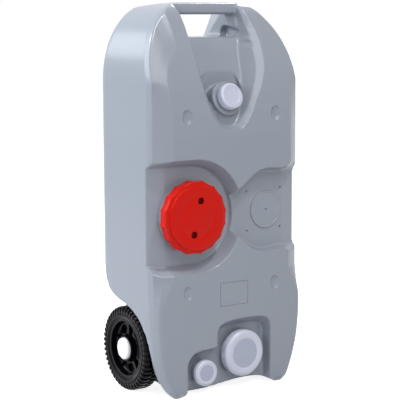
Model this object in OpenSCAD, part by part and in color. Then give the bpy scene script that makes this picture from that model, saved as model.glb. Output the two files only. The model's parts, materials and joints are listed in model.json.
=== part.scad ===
// Wheeled water bowser: a blow-moulded tank on two rear wheels and two front
// feet, with a moulded handle and four screw caps. Millimetres, +Z up.
// The front faces -Y. Outlines are measured from the pad of the front face,
// and the finished pieces are moved back so that the origin lies on the ground
// in the middle of the whole object.

/* [Tank] */
// Height of the tank standing on its feet
tank_height = 800; // [790:1:810]
// Width over the side faces
tank_width = 366; // [360:1:372]
// Depth from front pad to rear face
tank_depth = 222; // [218:1:228]
// Wall thickness of the moulding
wall = 4; // [3:0.5:4.5]
// Depth of the recess round the filler lid
lid_recess = 28; // [26:1:31]
// Depth of the blind recess on the other side
boss_recess = 20; // [18:1:23]
// Depth of the recess round the drain caps
drain_recess = 25; // [23:1:27]

/* [Handle] */
// Height of the grip bar section
grip_height = 25; // [22:1:26]
// Depth of the grip bar section
grip_depth = 42; // [36:1:46]
// Half width of the gap behind the fingers
grip_half = 73; // [68:1:76]
// Height of the finger gap under the bar
finger_gap = 46; // [42:1:50]

/* [Filler lid] */
// Diameter over the corners of the lid
lid_d = 151; // [148:0.5:153]
// Height of the lid skirt
lid_h = 21; // [19:0.5:22]
// Rise of the raised disc on the lid
lid_disc_h = 5; // [4:0.5:7]
// Number of grip corners round the lid
lid_lobes = 16; // [12:1:20]
// Thickness of the lid skirt at a grip corner
lid_wall = 7; // [6:0.5:7.5]
// Wall of the filler neck
lid_neck_wall = 7; // [5:0.5:8]

/* [Screw caps] */
// Diameter of the large drain cap
big_cap_d = 97; // [95:0.5:98]
// Height of the large drain cap
big_cap_h = 21; // [20:0.5:22]
// Diameter of the small caps
small_cap_d = 54; // [53:0.5:55]
// Height of the small drain cap
small_cap_h = 13; // [12:0.5:15]
// Height of the pour cap
pour_cap_h = 18; // [17:0.5:19]
// Thickness of a cap's skirt
cap_wall = 3.8; // [3:0.1:4.2]
// Thickness of a cap's end wall
cap_top = 3.2; // [2.5:0.1:3.6]
// Wall of the small necks
neck_wall = 4.5; // [3.5:0.5:5.5]
// Thickness of the sealing rings
seal_t = 3; // [2:0.5:3.5]

/* [Wheels] */
// Tyre diameter
tyre_d = 176; // [172:1:178]
// Tyre width
tyre_w = 41; // [38:1:42]
// How far a wheel's middle plane lies inside the side face
wheel_inset = 21; // [20:0.5:23]
// Gap between a tyre and the inner wall of its arch
wheel_gap = 7.5; // [6.5:0.5:8.5]
// Diameter of the rim under the tyre
rim_d = 122; // [116:1:126]
// Axle diameter
axle_d = 12; // [10:0.5:13]
// Hub cap diameter
hub_cap_d = 46; // [44:0.5:48]

/* [Hidden] */
$fn = 64;
half = tank_width / 2;
running = 0.06;          // radial clearance of a wheel on the axle
axle_fit = 0.02;         // radial clearance of the axle in its tunnel
thread_gap = 1.4;        // radial room for the thread between neck and cap
seal_gap = 0.1;          // clearance on both faces of a sealing ring
through = 400;           // length of a cut that passes through everything
shoulder_x = half - 120; // middle of the shoulder arc
shoulder_z = tank_height - 160;
pad_in = 38;             // width of the bevelled band beside the pad
band_y = 21;             // depth of that band near the side face
side_y = 36;             // where the rounding into the side face ends
edge_low_y = 14;         // depth of the plain rounding below the band
edge_fall = 12;          // how far the band lies behind the curved front
rear_r = 25;
dimple_r = 15;
dimple_h = 4.5;

lid_x = 90.3 - half;
lid_z = 370.5;
lid_face_y = -6;
lid_turn = 8.4;          // angle of the first grip corner
pit_turn = -13.6;        // lean of the line through the two spanner pits
boss_x = half - 84;
boss_z = 370;
big_x = 31;
big_z = 74.5;
big_face_y = -3;
small_x = -67;
small_z = 46.5;
small_face_y = -5;
lid_neck_d = lid_d - 2 * (lid_wall + thread_gap);
big_neck_d = big_cap_d - 2 * (cap_wall + thread_gap);
small_neck_d = small_cap_d - 2 * (cap_wall + thread_gap);

lean = 20;               // tilt of the valley floor and of the pour neck
saddle_z = tank_height - grip_height - finger_gap;
floor_y0 = 8;            // valley floor at its lowest point
floor_z0 = tank_height - 255;
pocket_y = 50;           // floor of the round pocket behind the pour neck
pocket_z = tank_height - 174.5;
pocket_r = small_cap_d / 2 + 21.5;
pour_z = tank_height - 187;
pour_y = -2;
pour_root = (pocket_y - pour_y) / cos(lean) + 14;
grip_y = 112;

cap_bevel = 3;
cap_slope = 3.5;         // how far a small cap's face draws in over its bevel
front_y = min(pour_y - (small_cap_d / 2 - cap_slope) * sin(lean), lid_face_y - lid_disc_h);
mid_y = (tank_depth + front_y) / 2;

wheel_x = half - wheel_inset;
hub_in = wheel_x - tyre_w / 2;
arch_x = hub_in - wheel_gap;
axle_y = 132.5;
axle_z = tyre_d / 2;

// The front is flat up to the valley and curves back above it: [height, depth]
front_line = [
    [tank_height - 210, 0], [tank_height - 176, 5], [tank_height - 138, 15], [tank_height - 102, 28],
    [tank_height - 69, 43], [tank_height - 42, 57], [tank_height - 20, 70], [tank_height - 7, 84],
    [tank_height - 1, 98], [tank_height + 0.6, 112]];
function front(z) = lookup(z, front_line);

// Front outlines, given for the right half and mirrored. Both lists have the
// same number of points, because the blank is lofted from one to the other.
edge_half = concat(
    [[half - 60, 0], [half - 46, 0], [half - 37, 7], [half - 25, 30], [half - 12, 66],
     [half - 1, 135], [half + 1.5, 187], [half, 245], [half, tank_height - 200], [half, tank_height - 176]],
    [for (a = [0 : 10 : 90]) [shoulder_x + 120 * cos(a), shoulder_z + 160 * sin(a)]]);
pad_half = concat(
    [[half - 65, 12], [half - 53, 7], [half - 45, 15], [half - 34, 40], [half - 22, 80],
     [half - 13, 140], [half - 15, 190], [half - pad_in, 245], [half - pad_in, tank_height - 200],
     [half - pad_in, tank_height - 176]],
    [for (a = [0 : 10 : 90]) [half - pad_in - 66 + 66 * cos(a), shoulder_z + 58 * sin(a)]]);
straight = 10;           // number of points below the shoulder
// A ring between the two that gives each foot a flat sole
toe_half = [for (k = [0 : len(pad_half) - 1])
    let (q = (pad_half[k] + edge_half[k]) / 2) [q[0], k < 2 ? 0 : q[1]]];
pad_y = [for (p = pad_half) max(0, front(p[1]) - 1)];
edge_y = [for (k = [0 : len(edge_half) - 1]) let (a = max(0, 10 * (k - straight)))
    k < 7 ? edge_low_y : max(band_y, min(front(edge_half[k][1]), 66) + edge_fall * pow(cos(a), 2))];
toe_y = [for (k = [0 : len(edge_half) - 1])
    k < 2 ? 10 : k < 7 ? 4 : (pad_y[k] + edge_y[k]) / 2];
function both(h) = concat(h, [for (k = [len(h) - 1 : -1 : 0]) [-h[k][0], h[k][1]]]);
function unit(v) = v / norm(v);
function inset(p, d) = let (n = len(p)) [for (k = [0 : n - 1])
    let (a = unit(p[k] - p[(k + n - 1) % n]), b = unit(p[(k + 1) % n] - p[k]),
         na = [a[1], -a[0]], nb = [b[1], -b[0]]) p[k] - d * (na + nb) / (1 + na * nb)];
// One ring of the loft at the depths y, drawn in by d; sole keeps the feet at a height,
// and up lifts the shoulder
function layer(h, y, d, sole, up = 0) = let (q = inset(both(h), d), n = len(q))
    [for (k = [0 : n - 1]) let (j = min(k, n - 1 - k), z = q[k][1])
        [q[k][0], y[j], sole != undef && j < 2 ? sole : z + up * max(0, (z - shoulder_z) / 160)]];
function level(y) = [for (p = edge_half) y];

// Side outline of the whole tank: curved front top, upright back, rising underside
side_line = concat([[-6, -8], [-6, tank_height - 244]], [for (p = front_line) [p[1], p[0]]],
    [[124, tank_height + 6], [tank_depth + 6, tank_height + 6], [tank_depth + 6, 240],
     [tank_depth - 3, 222], [tank_depth - 14, 196], [tank_depth - 22, 150],
     [tank_depth - 36, 100], [tank_depth - 57, 55], [115, 26], [30, 14], [24, 0], [24, -8]]);
// Underside of the wings over the wheels, as angles about the axle and gaps to the tyre
arch_line = concat([[16, -20], [16, 0]],
    [for (p = [[216, 49.8], [213.3, 35.8], [204.5, 15.8], [180, 5], [158.5, 4.9], [143.6, 4.8],
               [129.6, 5.4], [113.3, 6.7], [98.6, 9.1], [79.4, 17.8], [68.4, 35.7], [64.6, 60.3],
               [65.7, 95.3]])
        let (r = tyre_d / 2 + p[1]) [axle_y + r * cos(p[0]), axle_z + r * sin(p[0])]],
    [[tank_depth + 18, axle_z + 174], [tank_depth + 18, -20]]);
// Line between the two feet
arc_line = [
    [59 - half, -20], [59 - half, 0], [71 - half, 3.5], [80 - half, 6], [-72, 6.5], [-38, 8.5],
    [-5, 12], [36, 15.5], [62, 15.5], [half - 88, 11], [half - 65, 0], [half - 65, -20]];
// Top valley: its rim on the front, the upper edge of its walls a little behind, and
// the place of the walls further back, as [distance below the top, left, right]
gap_z = grip_height + finger_gap;
rim = [[256, -12, 12], [249, -26, 25], [236, -39, 38], [218, -52, 51], [197, -61, 64], [160, -69, 85],
    [128, -73, 96], [100, -75, 98], [gap_z, -grip_half - 4, grip_half + 24],
    [40, -grip_half - 6, grip_half + 15], [20, -grip_half - 9, grip_half + 8],
    [7, -grip_half - 12, grip_half + 3], [0, -grip_half - 13, grip_half + 2],
    [-30, -grip_half - 14, grip_half + 1]];
wall_top = [[251, -8, 8], [244, -20, 19], [231, -31, 31], [214, -43, 42], [194, -52, 53], [160, -61, 68],
    [128, -66, 78], [100, -70, 81], [gap_z, -grip_half, grip_half + 8],
    [40, -grip_half - 2, grip_half + 6], [20, -grip_half - 5, grip_half + 3],
    [7, -grip_half - 8, grip_half], [0, -grip_half - 9, grip_half - 1],
    [-30, -grip_half - 10, grip_half - 2]];
wall_low = [[251, -3, 3], [244, -5, 5], [231, -8, 8], [214, -14, 12], [194, -22, 18], [160, -34, 30],
    [128, -44, 38], [100, -56, 50], [gap_z, 2 - grip_half, grip_half - 3],
    [40, -grip_half, grip_half], [20, -grip_half - 1, grip_half], [7, -grip_half - 2, grip_half - 1],
    [0, -grip_half - 3, grip_half - 2], [-30, -grip_half - 4, grip_half - 3]];
rim_fall = 8;            // how far the walls start behind the front
function row(r, k, g) = [r[1] - g, r[2] + g, tank_height - r[0] - g * max(0, 1 - k / 5, (k - 6) / 4)];
// A ring of points from rows [left, right, height] and depths
function ring_of(rows, y) = concat([for (k = [0 : len(rows) - 1]) [rows[k][1], y[k], rows[k][2]]],
    [for (k = [len(rows) - 1 : -1 : 0]) [rows[k][0], y[k], rows[k][2]]]);
function mix(a, b, s) = a + s * (b - a);
valley_side = [
    [-30, floor_z0 - 45], [floor_y0 - 45 * tan(lean), floor_z0 - 45],
    [floor_y0 + 161 * tan(lean), floor_z0 + 161], [floor_y0 + 68, saddle_z - 6],
    [floor_y0 + 80, saddle_z], [tank_depth + 38, saddle_z],
    [tank_depth + 38, tank_height + 30], [-30, tank_height + 30]];

// Recesses of the front: the outline on the pad plane, and the outline that the
// drafted wall reaches at the depth named in the pit() call
recess_r = lid_d / 2 + 39;
lid_arc = [for (a = [90 : -15 : -90]) [cos(a), sin(a)]];
function below(u) = max(0, -u[1]);
lid_pad = concat([[-half - 70, lid_z + 162], [-half, lid_z + 128], [lid_x - 50, lid_z + 114]],
    [for (u = lid_arc) [lid_x, lid_z] + (recess_r + 10 * below(u) * u[0]) * u],
    [[lid_x - 50, lid_z - 115], [-half, lid_z - 125], [-half - 70, lid_z - 142]]);
lid_deep = concat([[-half - 70, lid_z + 87], [-half, lid_z + 87.5], [lid_x - 50, lid_z + 88]],
    [for (u = lid_arc) [lid_x, lid_z] + (recess_r - 26 - 8 * below(u)) * u],
    [[lid_x - 50, lid_z - 81], [-half, lid_z - 84], [-half - 70, lid_z - 82]]);
boss_pad = [
    [0, 412], [20, 421], [42, 439], [56, 449], [71, 456], [half - 43, 459], [half, 484],
    [half + 70, 520], [half + 70, 230], [half, 262], [half - 43, 285.5], [71, 286],
    [56, 291], [42, 300], [20, 320], [0, 330]];
boss_deep = [
    [6, 398], [26, 407], [47, 424], [61, 434], [74, 440], [half - 43, 441], [half, 438],
    [half + 70, 434], [half + 70, 301], [half, 299.5], [half - 43, 298.5], [74, 299],
    [61, 307], [47, 316], [26, 334], [6, 343]];
drain_pad = [
    [-111, -20], [-111, 66], [-106, 78], [-95, 89], [-80, 94], [-62, 95.5], [-37, 96.5],
    [-37, 124], [-34, 134], [-26, 142], [-12, 147], [4, 149], [51, 150], [80, 147],
    [92, 142], [98, 132], [99, 120], [99, -20]];
drain_deep = [
    [-110, -20], [-110, 60], [-104, 70], [-94, 77], [-80, 81], [-62, 82.5], [-36, 83.5],
    [-36, 112], [-32, 121], [-24, 127], [-12, 131], [4, 133], [51, 134], [76, 132],
    [88, 127], [94, 118], [95, 108], [95, -20]];

// Triangles that close one end of the loft: a fan round the point c below the
// eighth pair of points, and level strips above it
function strips(n, o, first) = concat(
    [for (k = [first : n / 2 - 2]) [o + k, o + k + 1, o + n - 2 - k]],
    [for (k = [first : n / 2 - 2]) [o + k, o + n - 2 - k, o + n - 1 - k]]);
function closing(n, c, o) = concat(
    [for (k = [0 : 6]) [c, o + k, o + k + 1]],
    [for (k = [0 : 6]) [c, o + n - 2 - k, o + n - 1 - k]],
    [[c, o + n - 1, o], [c, o + 7, o + n - 8]],
    strips(n, o, 7));
function flip(t) = [t[0], t[2], t[1]];
function skin(n, j) = [for (k = [0 : n - 1], s = [0, 1]) s == 0
    ? [j * n + k, j * n + (k + 1) % n, (j + 1) * n + (k + 1) % n]
    : [j * n + k, (j + 1) * n + (k + 1) % n, (j + 1) * n + k]];
module loft(layers) {
    n = len(layers[0]);
    m = len(layers);
    polyhedron(
        points = concat([for (l = layers) each l],
            [[0, layers[0][0][1], 120], [0, layers[m - 1][0][1], 120]]),
        faces = concat(
            [for (t = closing(n, m * n, 0)) flip(t)],
            closing(n, m * n + 1, (m - 1) * n),
            [for (j = [0 : m - 2]) each skin(n, j)]));
}
// A solid over rings whose points lie in level pairs
module spanned(rings) {
    n = len(rings[0]);
    m = len(rings);
    polyhedron(points = [for (r = rings) each r], faces = concat(
        [for (t = strips(n, 0, 0)) flip(t)], strips(n, (m - 1) * n, 0),
        [for (j = [0 : m - 2]) each skin(n, j)]));
}
// A recess with drafted walls: pad outline at y = 0, deep outline at the depth d,
// closed round the point c and grown by g; it starts in front of the pad
module pit(pad, deep, d, c, g) {
    n = len(pad);
    front = 24;
    a = inset(pad, g);
    b = inset(deep, g);
    polyhedron(
        points = concat(
            [for (k = [0 : n - 1]) let (q = a[k] + (a[k] - b[k]) * front / d) [q[0], -front, q[1]]],
            [for (k = [0 : n - 1]) [b[k][0], d, b[k][1]]],
            [[c[0], -front, c[1]], [c[0], d, c[1]]]),
        faces = concat(
            [for (k = [0 : n - 1]) [2 * n, k, (k + 1) % n]],
            [for (k = [0 : n - 1]) [2 * n + 1, n + (k + 1) % n, n + k]],
            [for (t = skin(n, 0)) flip(t)]));
}
module across(x0, x1) {
    translate([x0, 0, 0]) rotate([90, 0, 90]) linear_extrude(height = x1 - x0) children();
}
module along(y0, y1) {
    translate([0, y1, 0]) rotate([90, 0, 0]) linear_extrude(height = y1 - y0) children();
}
module upright(z0, z1) {
    translate([0, 0, z0]) linear_extrude(height = z1 - z0) children();
}

// Blank of the tank; a positive inset gives the cavity
module blank(i) {
    intersection() {
        loft([
            layer(pad_half, [for (y = pad_y) y + i], i * 0.5),
            layer(toe_half, [for (y = toe_y) y + i * 0.9], i),
            layer(edge_half, [for (y = edge_y) y + i * 0.8], 3 + i, i),
            layer(edge_half, [for (y = edge_y) y + side_y - band_y + i * 0.4], i),
            layer(edge_half, level(tank_depth - rear_r), i),
            layer(edge_half, level(tank_depth - 7 - i * 0.7), 7 + i * 0.7, undef, 3),
            layer(edge_half, level(tank_depth - i), rear_r + i * 0.5, undef, 12)]);
        across(-half - 10, half + 10) offset(delta = -i) polygon(side_line);
    }
}

module grip_section(g) {
    translate([grip_y, tank_height - grip_height / 2])
        offset(r = 8 - g) square([grip_depth - 16, grip_height - 16], center = true);
}

// Bevelled rim and inclined walls of the valley, grown by g for the cavity
module valley_rim(g) {
    a = [for (k = [0 : len(rim) - 1]) row(rim[k], k, g)];
    b = [for (k = [0 : len(rim) - 1]) row(wall_top[k], k, g)];
    ya = [for (r = rim) front(tank_height - r[0]) + g];
    yb = [for (r = wall_top) front(tank_height - r[0]) + rim_fall + g];
    spanned([for (s = [-0.6, 1.4]) ring_of(mix(a, b, s), mix(ya, yb, s))]);
}
module valley_walls(g) {
    b = [for (k = [0 : len(rim) - 1]) row(wall_top[k], k, g)];
    c = [for (k = [0 : len(rim) - 1]) row(wall_low[k], k, g)];
    yb = [for (r = wall_top) front(tank_height - r[0]) + rim_fall];
    yc = [for (y = yb) max(80, y + 25)];
    y0 = [for (y = yb) -40];
    spanned([
        ring_of([for (k = [0 : len(b) - 1]) mix(b[k], c[k], (-40 - yb[k]) / (yc[k] - yb[k]))], y0),
        ring_of(c, yc),
        ring_of(c, [for (y = yb) tank_depth + 78])]);
}

// The gap behind the bar widens towards the rear on both sides
module flare(g) {
    y0 = grip_y + 31 - g;
    y1 = tank_depth + 20;
    z0 = saddle_z - g;
    z1 = tank_height + 20;
    function wide(y, z) = grip_half - 1 + 1.2 * g + 0.39 * (y - grip_y - 31)
        + 0.44 * (z - tank_height + grip_height);
    polyhedron(
        points = [for (y = [y0, y1], z = [z0, z1]) each [[30, y, z], [wide(y, z), y, z]]],
        faces = [[0, 2, 3, 1], [4, 5, 7, 6], [0, 1, 5, 4], [2, 6, 7, 3], [0, 4, 6, 2], [1, 3, 7, 5]]);
}

// Everything that is scooped out of the blank, grown by g for the cavity
module scoops(g) {
    // valley and finger gap, leaving the grip bar
    intersection() {
        across(-half, half) difference() {
            offset(delta = g) polygon(valley_side);
            grip_section(g);
        }
        union() {
            valley_rim(g);
            valley_walls(g);
        }
    }
    for (s = [0, 1]) mirror([s, 0, 0]) flare(g);
    // round pocket behind the pour neck
    at_front(0, pocket_y + g, pocket_z) cylinder(h = pocket_y + 20, r = pocket_r + g);
    // thumb scoop in the right wall of the valley
    translate([grip_half - 5, 0, tank_height - 62]) rotate([0, 90, 0]) hull() {
        translate([0, grip_y + 19, 0]) cylinder(h = 15 + g, r1 = 18 + g, r2 = 12 + g, $fn = 32);
        translate([0, grip_y - 24, 0]) cylinder(h = 6 + g, r1 = 12 + g, r2 = 7 + g, $fn = 32);
    }
    // recess of the filler lid, open to the left side
    intersection() {
        pit(lid_pad, lid_deep, 60, [lid_x, lid_z], g);
        upright(200, 600) offset(delta = g) polygon([
            [-half - 90, -30], [-half - 90, lid_recess + 37], [-half, lid_recess + 13],
            [lid_x - 55, lid_recess], [lid_x + 200, lid_recess], [lid_x + 200, -30]]);
    }
    // blind recess, open to the right side
    intersection() {
        pit(boss_pad, boss_deep, 40, [half - 93, boss_z], g);
        upright(200, 600) offset(delta = g) polygon([
            [-30, -30], [-30, boss_recess], [half - 43, boss_recess], [half, boss_recess + 15],
            [half + 90, boss_recess + 46], [half + 90, -30]]);
    }
    // drain recess
    pit(drain_pad, drain_deep, drain_recess + g, [-20, 60], g);
    // four upright dimples on the pad
    for (x = [-109.5, 109.5], z = [tank_height - 583, tank_height - 227], s = [-4, 4])
        translate([x, dimple_h - dimple_r, z + s]) sphere(r = dimple_r + g);
    // gap between the feet
    along(-40, tank_depth + 78) offset(delta = g) polygon(arc_line);
    // wheel arches
    for (s = [0, 1]) mirror([s, 0, 0])
        across(arch_x - g, half + 77) offset(delta = g) polygon(arch_line);
}

// Frames of the parts: the pad plane of the outlines goes to -mid_y
module at_front(x, y, z) { translate([x, y, z]) rotate([90, 0, 0]) children(); }
module pour_frame() { translate([0, pour_y, pour_z]) rotate([90 - lean, 0, 0]) children(); }
module centred() { translate([0, -mid_y, 0]) children(); }
module neck(y, face_y, d) {
    end = face_y + cap_top + seal_t;
    translate([0, 0, -y - 1]) cylinder(h = y + 1 - end, d = d);
}
module bore(y, d) { translate([0, 0, -y - 2 * wall]) cylinder(h = through / 4, d = d); }

module tank_body() {
    color([0.60, 0.64, 0.69]) centred() difference() {
        union() {
            difference() {
                blank(0);
                scoops(0);
            }
            at_front(lid_x, 0, lid_z) neck(lid_recess, lid_face_y, lid_neck_d);
            at_front(big_x, 0, big_z) neck(drain_recess, big_face_y, big_neck_d);
            at_front(small_x, 0, small_z) neck(drain_recess, small_face_y, small_neck_d);
            pour_frame() neck(pour_root, 0, small_neck_d);
            // collar of the pour neck
            pour_frame() translate([0, 0, -pour_root - 1])
                cylinder(h = pour_root - pour_cap_h - 2, d = small_cap_d + 17);
            // blind round boss
            at_front(boss_x, boss_recess + 1, boss_z) cylinder(h = 2.5, r = 38.5);
        }
        difference() {
            blank(wall);
            scoops(wall);
            rotate([0, 90, 0]) translate([-axle_z, axle_y, -through / 2])
                cylinder(h = through, d = axle_d + 2 * wall);
        }
        at_front(lid_x, 0, lid_z) bore(lid_recess, lid_neck_d - 2 * lid_neck_wall);
        at_front(big_x, 0, big_z) bore(drain_recess, big_neck_d - 2 * neck_wall);
        at_front(small_x, 0, small_z) bore(drain_recess, small_neck_d - 2 * neck_wall);
        pour_frame() bore(pour_root, small_neck_d - 2 * neck_wall);
        // tunnel of the axle
        translate([-through / 2, axle_y, axle_z]) rotate([0, 90, 0])
            cylinder(h = through, d = axle_d + 2 * axle_fit);
    }
}

// A cap or lid is a cup in front of its neck, with the seal against its end wall
module ring(h, d, bore_d) {
    difference() {
        cylinder(h = h, d = d);
        translate([0, 0, -1]) cylinder(h = h + 2, d = bore_d);
    }
}
module neck_room(h, neck_d) {
    translate([0, 0, -1]) cylinder(h = h + 1 - cap_top, d = neck_d + 2 * thread_gap);
}
module seal(neck_d, neck_w) {
    color([0.12, 0.12, 0.12]) translate([0, 0, seal_gap - cap_top - seal_t])
        ring(seal_t - 2 * seal_gap, neck_d, neck_d - 2 * neck_w);
}

lid_dip = 2.1;           // how far the skirt falls back between two corners
lid_points = [for (k = [0 : 6 * lid_lobes - 1])
    let (a = k * 60 / lid_lobes, r = lid_d / 2 - lid_dip * abs(sin(a * lid_lobes / 2)))
        [r * cos(a + lid_turn), r * sin(a + lid_turn)]];

module filler_lid() {
    disc_d = lid_d - 19;
    color([0.85, 0.15, 0.10]) centred() at_front(lid_x, lid_face_y + lid_h, lid_z) difference() {
        union() {
            linear_extrude(height = lid_h - 2) polygon(lid_points);
            cylinder(h = lid_h, d = lid_d - 8);
            cylinder(h = lid_h + lid_disc_h - 2, d = disc_d);
            cylinder(h = lid_h + lid_disc_h, d = disc_d - 5);
        }
        neck_room(lid_h, lid_neck_d);
        for (s = [-1, 1]) rotate([0, 0, pit_turn]) translate([0, s * 34.8, lid_h + lid_disc_h - 5])
            cylinder(h = 8, d = 15);
    }
}
module filler_lid_seal() {
    centred() at_front(lid_x, lid_face_y, lid_z) seal(lid_neck_d, lid_neck_wall);
}
module screw_cap(d, h, bevel, slope) {
    difference() {
        union() {
            cylinder(h = h - bevel, d = d);
            translate([0, 0, h - bevel]) cylinder(h = bevel, d1 = d, d2 = d - 2 * slope);
        }
        neck_room(h, d - 2 * (cap_wall + thread_gap));
        translate([0, 0, h - 1]) cylinder(h = 3, d = d * 0.64);
    }
}
module drain_cap_large() {
    color([0.88, 0.90, 0.93]) centred() at_front(big_x, big_face_y + big_cap_h, big_z)
        screw_cap(big_cap_d, big_cap_h, cap_bevel + 1, cap_slope + 1);
}
module drain_cap_large_seal() {
    centred() at_front(big_x, big_face_y, big_z) seal(big_neck_d, neck_wall);
}
module drain_cap_small() {
    color([0.88, 0.90, 0.93]) centred() at_front(small_x, small_face_y + small_cap_h, small_z)
        screw_cap(small_cap_d, small_cap_h, cap_bevel, cap_slope);
}
module drain_cap_small_seal() {
    centred() at_front(small_x, small_face_y, small_z) seal(small_neck_d, neck_wall);
}
module pour_cap() {
    color([0.88, 0.90, 0.93]) centred() pour_frame() translate([0, 0, -pour_cap_h])
        screw_cap(small_cap_d, pour_cap_h, cap_bevel, cap_slope);
}
module pour_cap_seal() {
    centred() pour_frame() seal(small_neck_d, neck_wall);
}

// Wheel parts are drawn for the right side and mirrored for the left
hub_out = hub_in + 35;
axle_end = hub_out + 5;
window_d = 20;
module on_axle(x) { centred() translate([x, axle_y, axle_z]) rotate([0, 90, 0]) children(); }

module axle() {
    color([0.70, 0.71, 0.73]) on_axle(-axle_end) cylinder(h = 2 * axle_end, d = axle_d);
}
module rim() {
    w = tyre_w - 6;
    color([0.09, 0.09, 0.10]) on_axle(0) difference() {
        union() {
            translate([0, 0, wheel_x - w / 2]) difference() {
                cylinder(h = w, d = rim_d);
                translate([0, 0, -1]) cylinder(h = w + 2, d = rim_d - 8);
            }
            translate([0, 0, hub_in]) cylinder(h = hub_out - hub_in, d = 34);
            translate([0, 0, wheel_x - 4]) cylinder(h = 7, d = rim_d - 6);
            translate([0, 0, wheel_x]) cylinder(h = hub_out + 4 - wheel_x, d = hub_cap_d + 7);
        }
        translate([0, 0, hub_in - 1]) cylinder(h = 60, d = axle_d + 2 * running);
        translate([0, 0, hub_out]) cylinder(h = 10, d = hub_cap_d);
        for (k = [0 : 4]) rotate([0, 0, k * 72]) translate([(rim_d + hub_cap_d) / 4 + 0.7, 0, hub_in])
            cylinder(h = tyre_w, d = window_d);
    }
}
module tyre() {
    color([0.06, 0.06, 0.065]) on_axle(wheel_x) rotate_extrude() polygon([
        [rim_d / 2, -tyre_w / 2 + 3], [rim_d / 2 + 6, -tyre_w / 2 + 1.5], [rim_d / 2 + 12, -tyre_w / 2],
        [tyre_d / 2 - 8, -tyre_w / 2], [tyre_d / 2 - 3, -tyre_w / 2 + 3],
        [tyre_d / 2 - 0.8, -tyre_w / 2 + 9],
        [tyre_d / 2, -tyre_w / 2 + 16], [tyre_d / 2, tyre_w / 2 - 16], [tyre_d / 2 - 0.8, tyre_w / 2 - 9],
        [tyre_d / 2 - 3, tyre_w / 2 - 3], [tyre_d / 2 - 8, tyre_w / 2], [rim_d / 2 + 12, tyre_w / 2],
        [rim_d / 2 + 6, tyre_w / 2 - 1.5], [rim_d / 2, tyre_w / 2 - 3]]);
}
module hub_cap() {
    color([0.95, 0.95, 0.95]) on_axle(hub_out) difference() {
        union() {
            cylinder(h = 7, d = hub_cap_d);
            translate([0, 0, 7]) cylinder(h = 2.5, d1 = hub_cap_d, d2 = hub_cap_d - 6);
        }
        translate([0, 0, -1]) cylinder(h = 8.5, d = hub_cap_d - 6);
    }
}
module spacer() {
    color([0.2, 0.2, 0.2]) on_axle(arch_x) difference() {
        cylinder(h = wheel_gap - 0.2, d = axle_d + 12);
        translate([0, 0, -1]) cylinder(h = wheel_gap + 2, d = axle_d + 2 * running);
    }
}
module push_nut() {
    color([0.75, 0.76, 0.78]) on_axle(hub_out + 0.2) difference() {
        cylinder(h = 2.5, d = axle_d + 12);
        translate([0, 0, -1]) cylinder(h = 5, d = axle_d);
    }
}
module on_left() { mirror([1, 0, 0]) children(); }
module wheel_rim_left() { on_left() rim(); }
module wheel_rim_right() { rim(); }
module tyre_left() { on_left() tyre(); }
module tyre_right() { tyre(); }
module hub_cap_left() { on_left() hub_cap(); }
module hub_cap_right() { hub_cap(); }
module spacer_left() { on_left() spacer(); }
module spacer_right() { spacer(); }
module push_nut_left() { on_left() push_nut(); }
module push_nut_right() { push_nut(); }

tank_body();
filler_lid();
filler_lid_seal();
drain_cap_large();
drain_cap_large_seal();
drain_cap_small();
drain_cap_small_seal();
pour_cap();
pour_cap_seal();
axle();
wheel_rim_left();
wheel_rim_right();
tyre_left();
tyre_right();
hub_cap_left();
hub_cap_right();
spacer_left();
spacer_right();
push_nut_left();
push_nut_right();
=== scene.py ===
"""Wheeled water bowser: the visible model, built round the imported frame.

Every shape is drawn in millimetres, with the pad of the front face at y = 0, and
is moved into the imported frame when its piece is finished. The tank's skin is
carved from one loft, as its mould is. The necks and wheels are turned, and the
lids are lofted ring by ring.
"""

from __future__ import annotations

import json
import logging
import math
import sys
from dataclasses import dataclass
from enum import Enum
from functools import cached_property
from typing import Callable, Sequence

import bmesh
import bpy
from mathutils import Matrix, Vector

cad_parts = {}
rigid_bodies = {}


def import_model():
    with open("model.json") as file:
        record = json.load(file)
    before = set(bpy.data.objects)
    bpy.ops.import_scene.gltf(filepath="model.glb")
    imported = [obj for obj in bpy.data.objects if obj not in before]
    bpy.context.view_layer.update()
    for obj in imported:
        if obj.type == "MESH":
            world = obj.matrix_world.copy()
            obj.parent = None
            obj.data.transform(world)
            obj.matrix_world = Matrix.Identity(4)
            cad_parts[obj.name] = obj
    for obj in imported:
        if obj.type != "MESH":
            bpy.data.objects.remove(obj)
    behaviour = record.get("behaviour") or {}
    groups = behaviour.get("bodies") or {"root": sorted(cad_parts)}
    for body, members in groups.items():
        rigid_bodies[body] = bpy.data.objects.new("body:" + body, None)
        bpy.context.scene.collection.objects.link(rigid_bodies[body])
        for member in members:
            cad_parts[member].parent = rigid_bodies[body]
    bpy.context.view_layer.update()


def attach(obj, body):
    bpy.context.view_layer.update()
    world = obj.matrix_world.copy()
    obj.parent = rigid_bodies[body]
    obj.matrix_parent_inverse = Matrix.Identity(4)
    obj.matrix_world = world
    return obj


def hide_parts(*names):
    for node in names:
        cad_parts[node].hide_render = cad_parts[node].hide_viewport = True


LOG = logging.getLogger("bowser")

# The pad's plane lies MID_Y before the frame's origin
MID_Y = 105.5
TO_FRAME = Matrix.Scale(0.001, 4) @ Matrix.Translation((0.0, -MID_Y, 0.0))

# A height below every point
BELOW_ALL = -1e9

Point = tuple[float, float]
Spot = tuple[float, float, float]
Solid = bmesh.types.BMesh

# Middles of the round parts of the front, as (x, z), of the axle, as (y, z), and of the pour cap's face
FILLER: Point = (-92.7, 370.5)
DRAIN_LARGE: Point = (31.0, 74.5)
DRAIN_SMALL: Point = (-67.0, 46.5)
BOSS: Point = (99.0, 370.0)
AXLE: Point = (132.5, 88.0)
POUR: Spot = (0.0, -2.0, 613.0)
POUR_TURN = math.radians(70)
TYRE_RADIUS = 88.0


class Axis(Enum):
    """The direction along which a flat outline is drawn out."""

    X = 0
    Y = 1
    Z = 2


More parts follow.
